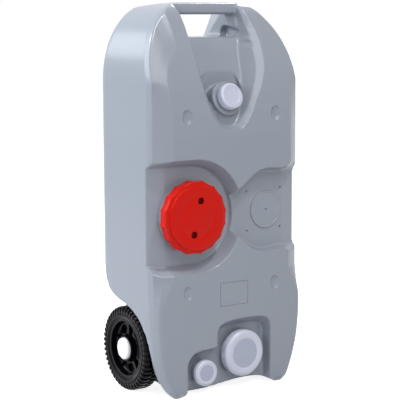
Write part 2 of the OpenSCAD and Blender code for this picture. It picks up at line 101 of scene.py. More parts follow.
class Side(Enum):
    """A side of the object, with its sign along X."""

    LEFT = -1
    RIGHT = 1


class Carving(Enum):
    """What a tool does to the solid that it meets."""

    ADD = "UNION"
    CUT = "DIFFERENCE"
    KEEP = "INTERSECT"


# Outlines


def spline(points: Sequence, steps: int = 4, corners: frozenset[int] = frozenset()) -> list:
    """Draws a smooth line through open points.

    Args:
        points: The points that the line passes, flat or in space.
        steps: How many pieces each span gets.
        corners: The numbers of the points that stay sharp.

    Returns:
        The points of the line, both ends included.
    """
    knots = [Vector(p) for p in points]
    last = len(knots) - 1

    def lean(k: int, span: Vector) -> Vector:
        """Gives the direction of the line at a knot.

        Args:
            k: The knot's number.
            span: The span beside it.

        Returns:
            The direction, times the span's length.
        """
        if k in (0, last) or k in corners:
            return span
        back, ahead = knots[k] - knots[k - 1], knots[k + 1] - knots[k]
        lb, la = back.length, ahead.length
        return (back / lb * la + ahead / la * lb) / (la + lb) * span.length

    line = []
    for k in range(last):
        a, b = knots[k], knots[k + 1]
        span = b - a
        ta, tb = lean(k, span), lean(k + 1, span)
        for s in range(steps):
            t = s / steps
            h = 2 * t**3 - 3 * t**2 + 1
            q = h * a + (t**3 - 2 * t**2 + t) * ta + (1 - h) * b + (t**3 - t**2) * tb
            line.append(tuple(q))
    line.append(tuple(knots[-1]))
    return line


def mirrored(half: Sequence[Point]) -> list[Point]:
    """Closes the right half of an outline with its mirror image."""
    return list(half) + [(-x, z) for x, z in reversed(half)]


def circle(steps: int) -> list[float]:
    """Divides the full turn into even angles."""
    return [math.tau * k / steps for k in range(steps)]


def drawn_in(points: Sequence[Point], d: float, level_below: float = BELOW_ALL) -> list[Point]:
    """Offsets a closed outline.

    Args:
        points: The outline. Where it runs anticlockwise, a positive d moves it inwards.
        d: The distance.
        level_below: Points under this height move sideways only.

    Returns:
        The new outline, with as many points.
    """
    n = len(points)
    shifted = []
    for k, p in enumerate(points):
        a = (Vector(p) - Vector(points[k - 1])).normalized()
        b = (Vector(points[(k + 1) % n]) - Vector(p)).normalized()
        side = Vector((a.y + b.y, -a.x - b.x)) / max(0.4, 1 + a.dot(b))
        if p[1] < level_below:
            side.y = 0.0
        shifted.append((p[0] - d * side.x, p[1] - d * side.y))
    return shifted


def rounded(points: Sequence[Point], radius: float, steps: int = 3) -> list[Point]:
    """Rounds the inner corners of an open line.

    Args:
        points: The line.
        radius: How far from a corner the rounding starts, at most 0.45 of a side.
        steps: How many pieces each corner gets.

    Returns:
        The line with its corners rounded.
    """
    line = [points[0]]
    for a, p, b in zip(points, points[1:], points[2:]):
        va, vp, vb = Vector(a), Vector(p), Vector(b)
        back, ahead = va - vp, vb - vp
        start = vp + back.normalized() * min(radius, 0.45 * back.length)
        end = vp + ahead.normalized() * min(radius, 0.45 * ahead.length)
        for s in range(steps + 1):
            t = s / steps
            q = (1 - t) ** 2 * start + 2 * t * (1 - t) * vp + t**2 * end
            line.append((q.x, q.y))
    line.append(points[-1])
    return line


# Solids


def closed_up(bm: Solid) -> Solid:
    """Merges doubles and turns all faces outwards.

    Args:
        bm: One closed solid.

    Returns:
        The same solid.
    """
    bmesh.ops.remove_doubles(bm, verts=bm.verts, dist=1e-3)
    bm.normal_update()
    bmesh.ops.recalc_face_normals(bm, faces=bm.faces)
    if bm.calc_volume(signed=True) < 0:
        bmesh.ops.reverse_faces(bm, faces=bm.faces)
    return bm


def drawn_out(outline: Sequence[Sequence[float]], way: Sequence[float]) -> Solid:
    """Draws one face out into a solid.

    Args:
        outline: The corners of the face in space.
        way: Where the far end goes.

    Returns:
        The solid, whose faces may still point inwards.
    """
    bm = bmesh.new()
    face = bm.faces.new([bm.verts.new(spot) for spot in outline])
    grown = bmesh.ops.extrude_face_region(bm, geom=[face])
    ends = [g for g in grown["geom"] if isinstance(g, bmesh.types.BMVert)]
    bmesh.ops.translate(bm, verts=ends, vec=way)
    return bm


def prism(outline: Sequence[Point], axis: Axis, low: float, high: float) -> Solid:
    """Draws a flat outline out along an axis.

    Args:
        outline: Points (y, z) for X, (x, z) for Y or (x, y) for Z.
        axis: The direction of the extrusion.
        low: Where it starts.
        high: Where it ends.

    Returns:
        The closed solid.
    """
    i = axis.value
    way = Vector((0.0, 0.0, 0.0))
    way[i] = high - low
    return closed_up(drawn_out([(*spot[:i], low, *spot[i:]) for spot in outline], way))


def loft(rings: Sequence[Sequence[Vector]], level: float | None = None) -> Solid:
    """Spans a closed skin over rings with the same number of points.

    Args:
        rings: The rings, from one end to the other.
        level: Where given, the points come in level pairs, and above this height the
            ends are split along them, so that they may curve.

    Returns:
        The closed solid.
    """
    bm = bmesh.new()
    count = len(rings[0])
    verts = [bm.verts.new(p) for p in rings[0]]
    edges = [bm.edges.new((v, verts[(k + 1) % count])) for k, v in enumerate(verts)]
    for number, ring in enumerate(rings):
        if number:
            grown = bmesh.ops.extrude_edge_only(bm, edges=edges)
            fresh = {g for g in grown["geom"] if isinstance(g, bmesh.types.BMVert)}
            verts = [next(e.other_vert(v) for e in v.link_edges if e.other_vert(v) in fresh) for v in verts]
            for v, spot in zip(verts, ring):
                v.co = spot
            edges = [bm.edges.get((v, verts[(k + 1) % count])) for k, v in enumerate(verts)]
        if number in (0, len(rings) - 1):
            bm.faces.new(verts)
            for left, right in list(zip(verts, verts[::-1]))[1:count // 2 - 1]:
                if level is not None and left.co.z > level:
                    bmesh.ops.connect_verts(bm, verts=[left, right])
    return closed_up(bm)


def round_loft(rings: Sequence[Sequence[Point]]) -> Solid:
    """Lofts rings that give a (radius, height) for each of their even angles round Z."""
    return loft([[Vector((r * math.cos(a), r * math.sin(a), z)) for a, (r, z) in zip(circle(len(ring)), ring)]
                 for ring in rings])


def lathe(profile: Sequence[Point], steps: int = 96, closed: bool = False) -> Solid:
    """Turns a profile of (radius, height) points round Z.

    Args:
        profile: The points; an open profile starts and ends on the axis.
        steps: How many pieces the turn has.
        closed: Joins the last point to the first, for a ring.

    Returns:
        The closed solid.
    """
    bm = bmesh.new()
    verts = [bm.verts.new((r, 0.0, h)) for r, h in profile]
    pairs = list(zip(verts, verts[1:])) + ([(verts[-1], verts[0])] if closed else [])
    edges = [bm.edges.new(pair) for pair in pairs]
    bmesh.ops.spin(bm, geom=verts + edges, cent=(0, 0, 0), axis=(0, 0, 1), angle=math.tau, steps=steps,
                   use_merge=True)
    return closed_up(bm)


def cylinder(radius: float, low: float, high: float, segments: int = 96) -> Solid:
    """Makes a plain cylinder along Z.

    Args:
        radius: Its radius.
        low: Height of its lower end.
        high: Height of its upper end.
        segments: How many sides it has.

    Returns:
        The closed solid.
    """
    bm = bmesh.new()
    bmesh.ops.create_cone(bm, cap_ends=True, segments=segments, radius1=radius, radius2=radius, depth=high - low)
    bmesh.ops.translate(bm, verts=bm.verts, vec=(0, 0, (low + high) / 2))
    return bm


def block(low: Sequence[float], high: Sequence[float]) -> Solid:
    """Makes a box along the axes.

    Args:
        low: Its lowest corner.
        high: Its highest corner.

    Returns:
        The closed solid.
    """
    bm = bmesh.new()
    bmesh.ops.create_cube(bm, size=1.0)
    for v in bm.verts:
        v.co = Vector([low[i] if v.co[i] < 0 else high[i] for i in range(3)])
    return bm


def ball(radius: float, spot: Sequence[float]) -> Solid:
    """Makes a sphere.

    Args:
        radius: Its radius.
        spot: Its middle.

    Returns:
        The closed solid.
    """
    bm = bmesh.new()
    bmesh.ops.create_uvsphere(bm, u_segments=32, v_segments=20, radius=radius)
    bmesh.ops.translate(bm, verts=bm.verts, vec=spot)
    return bm


def moved(bm: Solid, matrix: Matrix) -> Solid:
    """Transforms a solid and keeps its faces outwards.

    Args:
        bm: The solid.
        matrix: The transform, which may mirror it.

    Returns:
        The same solid.
    """
    bmesh.ops.transform(bm, matrix=matrix, verts=bm.verts)
    if matrix.determinant() < 0:
        bmesh.ops.reverse_faces(bm, faces=bm.faces)
    return bm


def merged(*parts: Solid) -> Solid:
    """Puts several solids into one mesh, without a boolean.

    Args:
        *parts: The solids, which are used up.

    Returns:
        One mesh of closed shells.
    """
    whole = bmesh.new()
    for part in parts:
        mesh = bpy.data.meshes.new("part")
        part.to_mesh(mesh)
        part.free()
        whole.from_mesh(mesh)
        bpy.data.meshes.remove(mesh)
    return whole


def eased(bm: Solid, width: float) -> Solid:
    """Rounds all edges of a solid.

    Args:
        bm: The solid.
        width: How far the rounding reaches on each face.

    Returns:
        The same solid.
    """
    bmesh.ops.bevel(bm, geom=bm.edges[:], offset=width, offset_type="OFFSET", segments=2, profile=0.5,
                    affect="EDGES", material=-1, clamp_overlap=True)
    return bm


def helix(radius: float, rise: float, width: float, pitch: float, turns: float, start: float) -> Solid:
    """Winds one ridge of a screw thread round Z.

    Args:
        radius: Where the ridge stands; it sinks a little into the wall there.
        rise: Height of the ridge, negative where it points inwards.
        width: Width at the foot.
        pitch: Climb in one turn.
        turns: Length of the ridge in turns.
        start: Height of its lower end.

    Returns:
        The closed ridge.
    """
    steps, sink = 40, math.copysign(0.4, rise)
    bm = bmesh.new()
    section = [(radius - sink, -width / 2), (radius + rise, -width / 5), (radius + rise, width / 5),
               (radius - sink, width / 2)]
    face = bm.faces.new([bm.verts.new((r, 0.0, start + h)) for r, h in section])
    bmesh.ops.spin(bm, geom=[face, *face.verts, *face.edges], cent=(0, 0, 0), axis=(0, 0, 1),
                   angle=math.tau * turns, steps=int(steps * turns), dvec=(0, 0, pitch / steps))
    return closed_up(bm)


def placed(bm: Solid, name: str) -> bpy.types.Object:
    """Makes an object of a solid.

    Args:
        bm: The solid, which is used up.
        name: The name of the object and its mesh.

    Returns:
        The object at the origin.
    """
    mesh = bpy.data.meshes.new(name)
    bm.to_mesh(mesh)
    bm.free()
    made = bpy.data.objects.new(name, mesh)
    bpy.context.collection.objects.link(made)
    return made


def clear(*scratches: bpy.types.Object) -> None:
    """Removes objects with their meshes.

    Args:
        *scratches: The objects.
    """
    for scratch in scratches:
        mesh = scratch.data
        bpy.data.objects.remove(scratch)
        bpy.data.meshes.remove(mesh)


def worked(bm: Solid, dress: Callable[[bpy.types.Object], None]) -> Solid:
    """Runs modifiers over a solid.

    Args:
        bm: The solid, which is used up.
        dress: Adds the modifiers to a scratch object.

    Returns:
        The new solid.
    """
    scratch = placed(bm, "scratch")
    dress(scratch)
    made = scratch.evaluated_get(bpy.context.evaluated_depsgraph_get()).to_mesh()
    fresh = bmesh.new()
    fresh.from_mesh(made)
    clear(scratch)
    return fresh


def carved(base: Solid, how: Carving, *tools: Solid) -> Solid:
    """Adds, cuts or intersects tools with a solid, one after the other.

    Args:
        base: The solid, which is used up.
        how: What the tools do to it.
        *tools: The tools, which are used up.

    Returns:
        The new solid.
    """
    helpers = [placed(tool, "tool") for tool in tools]

    def dress(scratch: bpy.types.Object) -> None:
        """Adds one boolean for each tool.

        Args:
            scratch: The object that is carved.
        """
        for helper in helpers:
            boolean = scratch.modifiers.new("carve", "BOOLEAN")
            boolean.operation = how.value
            boolean.solver = "MANIFOLD"
            boolean.object = helper

    result = worked(base, dress)
    clear(*helpers)
    return result


def wrapped(bm: Solid) -> Solid:
    """Replaces what a mesh holds by its convex hull.

    Args:
        bm: The mesh.

    Returns:
        The hull, a closed solid.
    """
    bmesh.ops.delete(bm, geom=bm.faces[:], context="FACES_ONLY")
    bmesh.ops.convex_hull(bm, input=bm.verts)
    bmesh.ops.delete(bm, geom=[v for v in bm.verts if not v.link_faces], context="VERTS")
    return closed_up(bm)


def softened(bm: Solid, voxel: float, passes: int, kept: float = 1.0) -> Solid:
    """Rebuilds a solid from even facets and smooths its edges.

    Args:
        bm: The solid, which is used up.
        voxel: Size of a facet.
        passes: How often the smoothing runs.
        kept: Share of the facets that stay; the flat areas lose the most.

    Returns:
        The softened solid.
    """

    def dress(scratch: bpy.types.Object) -> None:
        """Adds the remesh and the smoothing.

        Args:
            scratch: The object that is rebuilt.
        """
        remesh = scratch.modifiers.new("remesh", "REMESH")
        remesh.mode = "VOXEL"
        remesh.voxel_size = voxel
        smooth = scratch.modifiers.new("smooth", "SMOOTH")
        smooth.factor = 0.5
        smooth.iterations = passes
        if kept < 1:
            thin = scratch.modifiers.new("thin", "DECIMATE")
            thin.ratio = kept

    return worked(bm, dress)


def at_front(spot: Point, y: float = 0.0) -> Matrix:
    """Frame of a round part on the front: its Z looks forward."""
    return Matrix.Translation((spot[0], y, spot[1])) @ Matrix.Rotation(math.pi / 2, 4, "X")


def pour_frame() -> Matrix:
    """Frame of the leaning pour neck: its Z looks out of the cap."""
    return Matrix.Translation(POUR) @ Matrix.Rotation(POUR_TURN, 4, "X")


# Finishes


def node_tree(owner: bpy.types.Material | bpy.types.World) -> tuple[bpy.types.Nodes, bpy.types.NodeLinks]:
    """Turns on an owner's nodes and gives its nodes and links."""
    owner.use_nodes = True
    return owner.node_tree.nodes, owner.node_tree.links


@dataclass(frozen=True)
class Finish:
    """A moulded or machined surface with fine grain and slight colour variation.

    The grain is relief strong and bump_m deep. Mottle and gloss_spread say how far
    colour and roughness stray, in blotches of which about broad_scale go on a metre.
    """

    name: str
    slot: str
    colour: tuple[float, float, float]
    roughness: float
    grain_mm: float
    relief: float
    mottle: float
    metallic: float = 0.0
    shine: float = 0.5
    bump_m: float = 0.0003
    broad_scale: float = 6.0
    gloss_spread: float = 0.02

    def material(self) -> bpy.types.Material:
        """Builds the node material, once.

        Returns:
            The material of this finish.
        """
        known = bpy.data.materials.get(self.name)
        if known:
            return known
        made = bpy.data.materials.new(self.name)
        nodes, links = node_tree(made)
        shader = nodes["Principled BSDF"]
        shader.inputs["Metallic"].default_value = self.metallic
        shader.inputs["Specular IOR Level"].default_value = self.shine
        place = nodes.new("ShaderNodeTexCoord").outputs["Object"]
        fine = self.noise(nodes, links, place, 1000.0 / self.grain_mm, 3.0)
        broad = self.noise(nodes, links, place, self.broad_scale, 2.0)
        bump = nodes.new("ShaderNodeBump")
        bump.inputs["Strength"].default_value = self.relief
        bump.inputs["Distance"].default_value = self.bump_m
        links.new(fine, bump.inputs["Height"])
        links.new(bump.outputs["Normal"], shader.inputs["Normal"])
        tint = nodes.new("ShaderNodeValToRGB")
        for stop, factor in zip(tint.color_ramp.elements, (1 - self.mottle, 1 + self.mottle)):
            stop.color = (*[min(1.0, c * factor) for c in self.colour], 1.0)
        tint.color_ramp.elements[0].position = 0.15
        tint.color_ramp.elements[1].position = 0.85
        links.new(broad, tint.inputs["Fac"])
        links.new(tint.outputs["Color"], shader.inputs["Base Color"])
        gloss = nodes.new("ShaderNodeMapRange")
        gloss.inputs["To Min"].default_value = self.roughness - self.gloss_spread
        gloss.inputs["To Max"].default_value = self.roughness + self.gloss_spread
        links.new(broad, gloss.inputs["Value"])
        links.new(gloss.outputs["Result"], shader.inputs["Roughness"])
        return made

    @staticmethod
    def noise(nodes: bpy.types.Nodes, links: bpy.types.NodeLinks, place: bpy.types.NodeSocket, scale: float,
              detail: float) -> bpy.types.NodeSocket:
        """Adds a noise.

        Args:
            nodes: The nodes of the material.
            links: Its links.
            place: The coordinates that the noise reads.
            scale: How fine it is.
            detail: How many finer layers it has.

        Returns:
            Its value.
        """
        texture = nodes.new("ShaderNodeTexNoise")
        texture.inputs["Scale"].default_value = scale
        texture.inputs["Detail"].default_value = detail
        links.new(place, texture.inputs["Vector"])
        return texture.outputs["Fac"]


TANK_GREY = Finish("tank_grey_plastic", "tank", (0.282, 0.311, 0.362),
                   roughness=0.23, grain_mm=1.4, relief=0.05, mottle=0.008, shine=0.42)
LID_RED = Finish("lid_red_plastic", "lid", (0.60, 0.008, 0.003),
                 roughness=0.30, grain_mm=1.0, relief=0.05, mottle=0.02, shine=0.12)
# Darker red for the faces deep in the lid's pits: painted shade, not a colour of the plastic.
PIT_SHADE_RED = Finish("lid_red_pit", "lid", (0.16, 0.002, 0.001),
                 roughness=0.45, grain_mm=1.0, relief=0.05, mottle=0.02, shine=0.1)
DISC_WHITE = Finish("cap_milky_disc", "cap", (0.40, 0.43, 0.54), roughness=0.33, grain_mm=1.0, relief=0.05, mottle=0.01)
DISC_PALE = Finish("cap_milky_disc_pale", "cap", (0.50, 0.525, 0.645),
                   roughness=0.33, grain_mm=1.0, relief=0.05, mottle=0.01)
CAP_WHITE = Finish("cap_milky_plastic", "cap", (0.58, 0.61, 0.72),
                   roughness=0.33, grain_mm=1.0, relief=0.05, mottle=0.02)
SEAL_BLACK = Finish("seal_black_rubber", "seal", (0.010, 0.010, 0.010),
                    roughness=0.7, grain_mm=0.6, relief=0.2, mottle=0.1)
AXLE_STEEL = Finish("axle_zinc_steel", "axle", (0.55, 0.56, 0.58),
                    roughness=0.32, grain_mm=0.5, relief=0.1, mottle=0.05, metallic=1.0)
RIM_BLACK = Finish("rim_black_plastic", "rim", (0.002, 0.002, 0.003),
                   roughness=0.20, grain_mm=1.0, relief=0.1, mottle=0.1, shine=0.10)
TYRE_BLACK = Finish("tyre_black_rubber", "tyre", (0.0015, 0.0015, 0.0025),
                    roughness=0.22, grain_mm=0.8, relief=0.15, mottle=0.15, shine=0.09)
HUB_WHITE = Finish("hub_white_plastic", "hub_cover", (0.90, 0.90, 0.90),
                   roughness=0.35, grain_mm=1.0, relief=0.05, mottle=0.01)
SPACER_BLACK = Finish("spacer_black_plastic", "spacer", (0.015, 0.015, 0.015),
                      roughness=0.5, grain_mm=1.0, relief=0.1, mottle=0.1)
NUT_STEEL = Finish("nut_spring_steel", "nut", (0.6, 0.6, 0.62),
                   roughness=0.28, grain_mm=0.5, relief=0.1, mottle=0.05, metallic=1.0)


def finished(name: str, bm: Solid, finish: Finish, body: str, node: str, place: Matrix | None = None,
             crease: float = 40.0, other: Finish | None = None) -> None:
    """Turns a solid into a piece of the model.

    Args:
        name: The piece's name.
        bm: The solid in millimetres, which is used up.
        finish: Its surface.
        body: The body that it rides on.
        node: The CAD node that it stands for, or for a part of which.
        place: Where the solid goes, before it is moved into the frame.
        crease: Edges that turn more than this many degrees stay sharp.
        other: The finish of the faces whose material number is 1.
    """
    moved(bm, TO_FRAME @ (place or Matrix.Identity(4)))
    piece = placed(bm, name)
    mesh = piece.data
    mesh.shade_smooth()
    mesh.set_sharp_from_angle(angle=math.radians(crease))
    for coat in (finish, other):
        if coat:
            mesh.materials.append(coat.material())
    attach(piece, body)
    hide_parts(node)
    LOG.info("%s: %d faces on %s", name, len(mesh.polygons), body)


# Tank


@dataclass
class Tank:
    """The blow-moulded tank with its handle, recesses and feet.

    The half outlines have the same knots, of which side_knot starts the straight
    side. Depths are named y and heights z.
    """

    height: float = 800.0
    width: float = 366.0
    depth: float = 222.0
    rear_radius: float = 25.0
    rear_rise: float = 12.0
    ends_flat_z: float = 300.0
    side_knot: int = 7
    band_y: float = 21.0
    band_fall: float = 12.0
    band_deepest: float = 66.0
    side_y: float = 36.0
    foot_y: float = 14.0
    shoulder_rise: float = 160.0
    lid_recess: float = 28.0
    boss_recess: float = 20.0
    drain_recess: float = 25.0
    lean: float = math.radians(20)
    floor_y: float = 8.0
    floor_z: float = 545.0
    saddle_z: float = 729.0
    valley_deepest: float = 80.0
    grip_y: float = 112.0
    grip_half: float = 73.0
    grip_high: float = 25.0
    grip_deep: float = 21.0
    pocket_y: float = 50.0
    pocket_z: float = 625.5
    pocket_radius: float = 48.5
    arch_x: float = 134.0
    voxel: float = 2.0
    kept_facets: float = 0.28
    over_side: float = 210.0
    over_valley: float = 150.0

    @property
    def half(self) -> float:
        """Half the width over the side faces."""
        return self.width / 2

    @property
    def shoulder_z(self) -> float:
        """Height at which the shoulder starts."""
        return self.height - self.shoulder_rise

    @cached_property
    def front_line(self) -> list[Point]:
        """Height and depth of the front, which curves back beside the valley."""
        table = [(-244, -6), (-210, 0), (-176, 5), (-138, 15), (-102, 28), (-69, 43), (-42, 57), (-20, 70), (-7, 84),
                 (-1, 98), (0.6, 112), (6, 124)]
        return spline([(self.height + z, y) for z, y in table], 4)

    def front(self, z: float) -> float:
        """Gives the depth of the front.

        Args:
            z: The height.

        Returns:
            The depth there, 0 on the pad.
        """
        for (z0, y0), (z1, y1) in zip(self.front_line, self.front_line[1:]):
            if z0 <= z < z1:
                return max(0.0, y0 + (y1 - y0) * (z - z0) / (z1 - z0))
        return 0.0 if z < self.height else self.front_line[-1][1]

    def shouldered(self, low: list[Point], across: float, rise: float) -> list[Point]:
        """Continues a half outline up its side and over the shoulder.

        Args:
            low: The points up to the straight side.
            across: Width of the shoulder's arc.
            rise: Height of that arc.

        Returns:
            The knots of the half outline.
        """
        x, z = low[-1][0], self.shoulder_z
        arc = [(x - across + across * math.cos(math.radians(a)), z + rise * math.sin(math.radians(a)))
               for a in range(0, 91, 10)]
        return [*low, (x, z - 40), (x, z - 16), *arc]

    def edge(self) -> list[Point]:
        """Draws the right half of the outline over the side faces.

        Returns:
            Its knots.
        """
        h = self.half
        low = [(h - 60, 0), (h - 46, 0), (h - 37, 7), (h - 25, 30), (h - 12, 66), (h - 1, 135), (h + 1.5, 187),
               (h, 245)]
        return self.shouldered(low, 120, self.shoulder_rise)

    def pad(self) -> list[Point]:
        """Draws the right half of the outline of the raised front pad.

        Returns:
            Its knots.
        """
        h = self.half
        low = [(h - 65, 12), (h - 53, 7), (h - 45, 15), (h - 34, 40), (h - 22, 80), (h - 13, 140), (h - 15, 190),
               (h - 38, 245)]
        return self.shouldered(low, 66, 58)

    def band_depth(self, knot: int, z: float) -> float:
        """Gives the depth of the band's outer edge.

        Args:
            knot: The number of a knot of the outline.
            z: Its height.

        Returns:
            The depth at that knot.
        """
        if knot < self.side_knot:
            return self.foot_y
        rise = max(0.0, (z - self.shoulder_z) / self.shoulder_rise)
        return max(self.band_y, min(self.front(z), self.band_deepest) + self.band_fall * (1 - rise * rise))

    def ring(self, knots: Sequence[Spot], inset: float = 0.0, level: float = BELOW_ALL, lift: float = 0.0,
             depth: float | None = None) -> list[Vector]:
        """Smooths one outline and puts it at its depths.

        Args:
            knots: Its right half, as (x, z, depth).
            inset: How far it is drawn in.
            level: Points under this height move sideways only.
            lift: How far the top of the shoulder rises.
            depth: One depth for all points.

        Returns:
            The points of the whole ring.
        """
        fine = spline(knots, 5, frozenset({0, 1, self.side_knot}))
        flat = drawn_in(mirrored([(x, z) for x, z, _ in fine]), inset, level)
        depths = [y if depth is None else depth for _, _, y in fine]
        return [Vector((x, y, z + lift * max(0.0, (z - self.shoulder_z) / self.shoulder_rise)))
                for (x, z), y in zip(flat, depths + depths[::-1])]

    def blank(self) -> Solid:
        """Lofts the tank without its recesses.

        Returns:
            The closed solid from the front pad to the rear face.
        """
        pad = [(x, z, max(0.0, self.front(z) - 1.5)) for x, z in self.pad()]
        edge = [(x, z, self.band_depth(k, z)) for k, (x, z) in enumerate(self.edge())]
        toe = [((a[0] + b[0]) / 2, (a[1] + b[1]) / 2 if k > 1 else 0.0,
                10.0 if k < 2 else 4.0 if k < self.side_knot else (a[2] + b[2]) / 2)
               for k, (a, b) in enumerate(zip(pad, edge))]
        side = [(x, z, y + self.side_y - self.band_y) for x, z, y in edge]
        rings = [self.ring(pad), self.ring(toe), self.ring(edge, inset=3.0, level=20.0), self.ring(side)]
        for a in range(0, 91, 15):
            turn, r = math.radians(a), self.rear_radius
            share = 1 - math.cos(turn)
            rings.append(self.ring(side, inset=r * share, level=150.0, lift=self.rear_rise * share,
                                   depth=self.depth - r * (1 - math.sin(turn))))
        return loft(rings, level=self.ends_flat_z)

    def side_profile(self) -> Solid:
        """Draws the side outline of the tank out over its width.

        Returns:
            The solid that the blank is cut to.
        """
        top, deep = self.height, self.depth
        rear = spline([(deep + 6, 240), (deep - 3, 222), (deep - 14, 196), (deep - 22, 150), (deep - 36, 100),
                       (deep - 57, 55), (115, 26), (30, 14)], 4)
        line = [(-6, -8), *[(y, z) for z, y in self.front_line], (deep + 6, top + 6), *rear, (24, 0), (24, -8)]
        return prism(line, Axis.X, -self.over_side, self.over_side)

    def valley(self) -> Solid:
        """Makes the tool of the top valley and the finger gap, without the bar.

        Returns:
            The inclined walls and floor with their bevelled rim.
        """
        g, top = self.grip_half, self.height
        rim = spline([(256, -12, 12), (249, -26, 25), (236, -39, 38), (218, -52, 51), (197, -61, 64), (160, -69, 85),
                      (128, -73, 96), (100, -75, 98), (71, -g - 4, g + 24), (40, -g - 6, g + 15),
                      (20, -g - 9, g + 8), (7, -g - 12, g + 3), (0, -g - 13, g + 2), (-30, -g - 14, g + 1)], 3)
        shelf = spline([(251, -8, 8), (244, -20, 19), (231, -31, 31), (214, -43, 42), (194, -52, 53), (160, -61, 68),
                        (128, -66, 78), (100, -70, 81), (71, -g, g + 8), (40, -g - 2, g + 6), (20, -g - 5, g + 3),
                        (7, -g - 8, g), (0, -g - 9, g - 1), (-30, -g - 10, g - 2)], 3)
        low = spline([(251, -3, 3), (244, -5, 5), (231, -8, 8), (214, -14, 12), (194, -22, 18), (160, -34, 30),
                      (128, -44, 38), (100, -56, 50), (71, 2 - g, g - 3), (40, -g, g), (20, -g - 1, g),
                      (7, -g - 2, g - 1), (0, -g - 3, g - 2), (-30, -g - 4, g - 3)], 3)

        def ring(a: Sequence[Spot], b: Sequence[Spot], shares: Sequence[float],
                 depths: Sequence[float]) -> list[Vector]:
            """Puts rows between two tables of rows at their depths.

            Args:
                a: The rows of one table: the fall from the top, the left and the right edge.
                b: The rows of the other.
                shares: How far each row goes from one to the other.
                depths: The depth of each row.

            Returns:
                The ring, up the right side and down the left one.
            """
            rows = [Vector(p).lerp(Vector(q), s) for p, q, s in zip(a, b, shares)]
            right = [Vector((r.z, y, top - r.x)) for r, y in zip(rows, depths)]
            return right + [Vector((r.y, y, top - r.x)) for r, y in zip(rows, depths)][::-1]

        ahead, bevel_deep, wall_deep = 40, 8, 25
        on = [self.front(top - r[0]) for r in rim]
        behind = [self.front(top - r[0]) + bevel_deep for r in shelf]
        deep = [max(self.valley_deepest, y + wall_deep) for y in behind]
        bevel = loft([ring(rim, shelf, [s] * len(rim), [a + s * (b - a) for a, b in zip(on, behind)])
                      for s in (-0.6, 1.4)], level=BELOW_ALL)
        start = [-(ahead + b) / (d - b) for b, d in zip(behind, deep)]
        ones = [1.0] * len(rim)
        walls = loft([ring(shelf, low, start, [-ahead] * len(rim)), ring(shelf, low, ones, deep),
                      ring(shelf, low, ones, [self.depth + 78] * len(rim))], level=BELOW_ALL)
        walls = softened(carved(walls, Carving.KEEP, self.valley_side()), voxel=2.4, passes=10)
        bevel = carved(bevel, Carving.KEEP, self.valley_side())
        return carved(carved(walls, Carving.ADD, bevel), Carving.CUT, self.grip())

    def valley_side(self) -> Solid:
        """Draws the side outline of the valley out over its width."""
        z0, tan = self.floor_z, math.tan(self.lean)
        return prism([(-60, z0 - 45), (self.floor_y - 45 * tan, z0 - 45), (self.floor_y + 161 * tan, z0 + 161),
                      (self.floor_y + 65, self.saddle_z - 9), (self.floor_y + 71, self.saddle_z),
                      (self.depth + 60, self.saddle_z), (self.depth + 60, self.height + 60),
                      (-60, self.height + 60)], Axis.X, -self.over_valley, self.over_valley)

    def grip(self) -> Solid:
        """Makes the bar that the hand closes round.

        Returns:
            The closed solid, which the valley's tool leaves standing.
        """
        z0, z1 = self.height - self.grip_high, self.height
        y0, y1 = self.grip_y - self.grip_deep, self.grip_y + self.grip_deep
        line = rounded([(self.grip_y, z0), (y0, z0), (y0, z1), (y1, z1), (y1, z0), (self.grip_y, z0)], 9, 5)
        return prism(line[:-1], Axis.X, -self.over_valley, self.over_valley)

    def flare(self, side: Side) -> Solid:
        """Makes the tool that widens the gap behind the bar.

        Args:
            side: The side that it is for.

        Returns:
            The closed tool.
        """
        slant_y, slant_z = 0.39, 0.44
        y0, z0 = self.grip_y + self.grip_deep + 10, self.saddle_z
        bm = block((30, y0, z0), (60, self.depth + 20, self.height + 20))
        for v in bm.verts:
            if v.co.x > 45:
                rise = v.co.z - self.height + self.grip_high
                v.co.x = self.grip_half - 1 + slant_y * (v.co.y - y0) + slant_z * rise
            v.co.x *= side.value
        bmesh.ops.recalc_face_normals(bm, faces=bm.faces)
        return softened(bm, voxel=3.0, passes=6)

    def thumb_scoop(self) -> Solid:
        """Makes the tool of the long hollow in the right wall of the valley.

        Returns:
            The closed tool.
        """
        bm = bmesh.new()
        for y, r1, r2, start, long in ((self.grip_y + 17, 17, 11, -6, 17), (self.grip_y - 30, 7, 3, 0, 8)):
            middle = Matrix.Translation((self.grip_half + start + long / 2, y, self.height - 62))
            bmesh.ops.create_cone(bm, cap_ends=True, segments=32, radius1=r1, radius2=r2, depth=long,
                                  matrix=middle @ Matrix.Rotation(math.pi / 2, 4, "Y"))
        return softened(wrapped(bm), voxel=2.0, passes=6)

    def dimple(self, x: float, z: float) -> Solid:
        """Makes the tool of one upright dimple of the pad.

        Args:
            x: Its middle across the pad.
            z: Its middle in height.

        Returns:
            The closed tool.
        """
        radius, deep = 15.0, 4.0
        bm = bmesh.new()
        for shift in (-4, 4):
            bmesh.ops.create_uvsphere(bm, u_segments=48, v_segments=32, radius=radius,
                                      matrix=Matrix.Translation((x, deep - radius, z + shift)))
        return wrapped(bm)

    def pit(self, pad: Sequence[Point], deep: Sequence[Point], d: float, floor: Sequence[Point] | None,
            passes: int) -> Solid:
        """Makes the tool of a recess with drafted walls.

        Args:
            pad: Its outline on the pad plane.
            deep: The outline that its walls reach at the depth d.
            d: That depth.
            floor: Plan of the space down to the floor, or None where the floor lies at d.
            passes: How soft its inner edges are.

        Returns:
            The closed tool.
        """
        front, lowest, highest = 24.0, 180, 620
        rings = [[Vector((a[0] + (a[0] - b[0]) * front / d, -front, a[1] + (a[1] - b[1]) * front / d))
                  for a, b in zip(pad, deep)], [Vector((b[0], d, b[1])) for b in deep]]
        tool = loft(rings)
        if floor:
            tool = carved(tool, Carving.KEEP, prism(floor, Axis.Z, lowest, highest))
        return softened(tool, self.voxel, passes)

